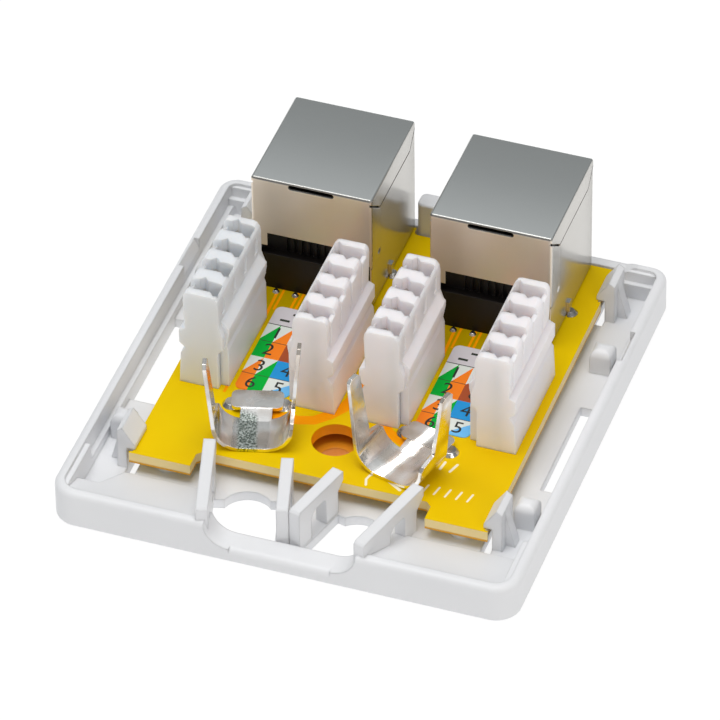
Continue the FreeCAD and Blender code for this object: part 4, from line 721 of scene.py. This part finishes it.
# %% Labels: coated paper, printed in flat colours
# Bright matte colours beside a pale grey-green paper, with hardly any gloss.
paper, tree, shader = new_material("printed_coated_paper", PALE, 0, 0.5)
shader.inputs["Specular IOR Level"].default_value = 0.12
place = add_node(tree, "ShaderNodeTexCoord")
between_labels = sum(PORT_MIDDLES) / 2
spread = (PORT_MIDDLES[1] - PORT_MIDDLES[0]) / 2
centred = add_node(tree, "ShaderNodeVectorMath", [(0, place, "Object")],
                   {1: (1000, 1000, 0), 2: (-between_labels, 0, 0)}, operation="MULTIPLY_ADD")
side_parts = add_node(tree, "ShaderNodeVectorMath", [(0, centred, "Vector")], operation="SIGN")
from_middle = add_node(tree, "ShaderNodeVectorMath", [(0, side_parts, "Vector"), (2, centred, "Vector")],
                       {1: (-spread, 0, 0)}, operation="MULTIPLY_ADD")
colour_so_far = None
for left_edge, right_edge, low, high, colour, half in fields:
    cover = field_cover(tree, from_middle, left_edge, right_edge, low, high, half)
    below = [("A", colour_so_far, "Result")] if colour_so_far else []
    colour_so_far = add_node(tree, "ShaderNodeMix", [("Factor", cover, 0), *below],
                             {"A": hex_colour(PALE), "B": hex_colour(colour)}, data_type="RGBA")
tree.links.new(colour_so_far.outputs["Result"], shader.inputs["Base Color"])

# %% Labels: the paper's own fibres
fibres = add_node(tree, "ShaderNodeTexNoise", [("Vector", place, "Object")],
                  {"Scale": spaced(0.667), "Detail": 3.0})
bump = add_node(tree, "ShaderNodeBump", [("Height", fibres, "Fac")],
                {"Strength": 0.08, "Distance": 0.03 * MM})
tree.links.new(bump.outputs["Normal"], shader.inputs["Normal"])
give(paper, "wiring_label")
print("fields of print:", len(fields))

# %% [markdown]
# ## The numbers on the labels
#
# Each field has its terminal's number in black. They are plain numbers, so they are set as text in
# Blender's own font, turned into a mesh, and laid on the label as a film of ink a hundredth of a
# millimetre thick. Text set once per number and copied to the other label keeps both the same.

# %% Black printing ink
# Dense black with a faint gloss, a little greyer in specks where the paper shows through.
black_ink, tree, shader = new_material("black_printing_ink", "#101412", 0, 0.45)
place = add_node(tree, "ShaderNodeTexCoord")
speck = add_node(tree, "ShaderNodeTexNoise", [("Vector", place, "Object")],
                 {"Scale": spaced(0.4), "Detail": 2.0})
tone = add_node(tree, "ShaderNodeMix", [("Factor", speck, "Fac")],
                {"A": hex_colour("#0A0E0C"), "B": hex_colour("#2A302C")}, data_type="RGBA")
tree.links.new(tone.outputs["Result"], shader.inputs["Base Color"])

# %% Set each number once, on the left label
LABEL_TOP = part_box("wiring_label_left")[1].z
NUMBER_SIZE = 3.0 * MM
HALF_INK = 0.005 * MM
SAME_POINT = 0.0001 * MM
LEFT_COLUMN = -1.85
RIGHT_COLUMN = 1.75
row_middles = [(high + low) / 2 for high, low in zip(ROW_EDGES, ROW_EDGES[1:])]
numbers = [(digit, LEFT_COLUMN, row) for digit, row in zip("1236", row_middles)]
numbers += [(digit, RIGHT_COLUMN, row) for digit, row in zip("7845", row_middles)]
set_numbers = []
for digit, x, y in numbers:
    bpy.ops.object.select_all(action="DESELECT")
    bpy.ops.object.text_add(location=((PORT_MIDDLES[0] + x) * MM, y * MM, LABEL_TOP + HALF_INK))
    number = bpy.context.object
    number.name = f"label_number_{digit}_left"
    number.data.body = digit
    number.data.size = NUMBER_SIZE
    number.data.extrude = HALF_INK
    number.data.align_x = "CENTER"
    number.data.align_y = "CENTER"
    number.data.resolution_u = 6
    bpy.ops.object.convert(target="MESH")
    bpy.ops.object.transform_apply(location=True, rotation=True, scale=True)
    bpy.ops.object.mode_set(mode="EDIT")
    bpy.ops.mesh.select_all(action="SELECT")
    bpy.ops.mesh.remove_doubles(threshold=SAME_POINT)
    bpy.ops.object.mode_set(mode="OBJECT")
    number.data.materials.append(black_ink)
    set_numbers.append((digit, number))
print("numbers:", len(set_numbers), "each", round(set_numbers[0][1].dimensions.y / MM, 1), "mm tall")

# %% Copy them to the right label, each with its own mesh
label_step = Vector(((PORT_MIDDLES[1] - PORT_MIDDLES[0]) * MM, 0, 0))
copies = []
for digit, number in set_numbers:
    copy = number.copy()
    copy.data = number.data.copy()
    copy.data.transform(Matrix.Translation(label_step))
    copy.name = f"label_number_{digit}_right"
    bpy.context.scene.collection.objects.link(copy)
    copies.append(copy)
for number in [number for _, number in set_numbers] + copies:
    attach(number, "root")
print("copied:", len(copies))
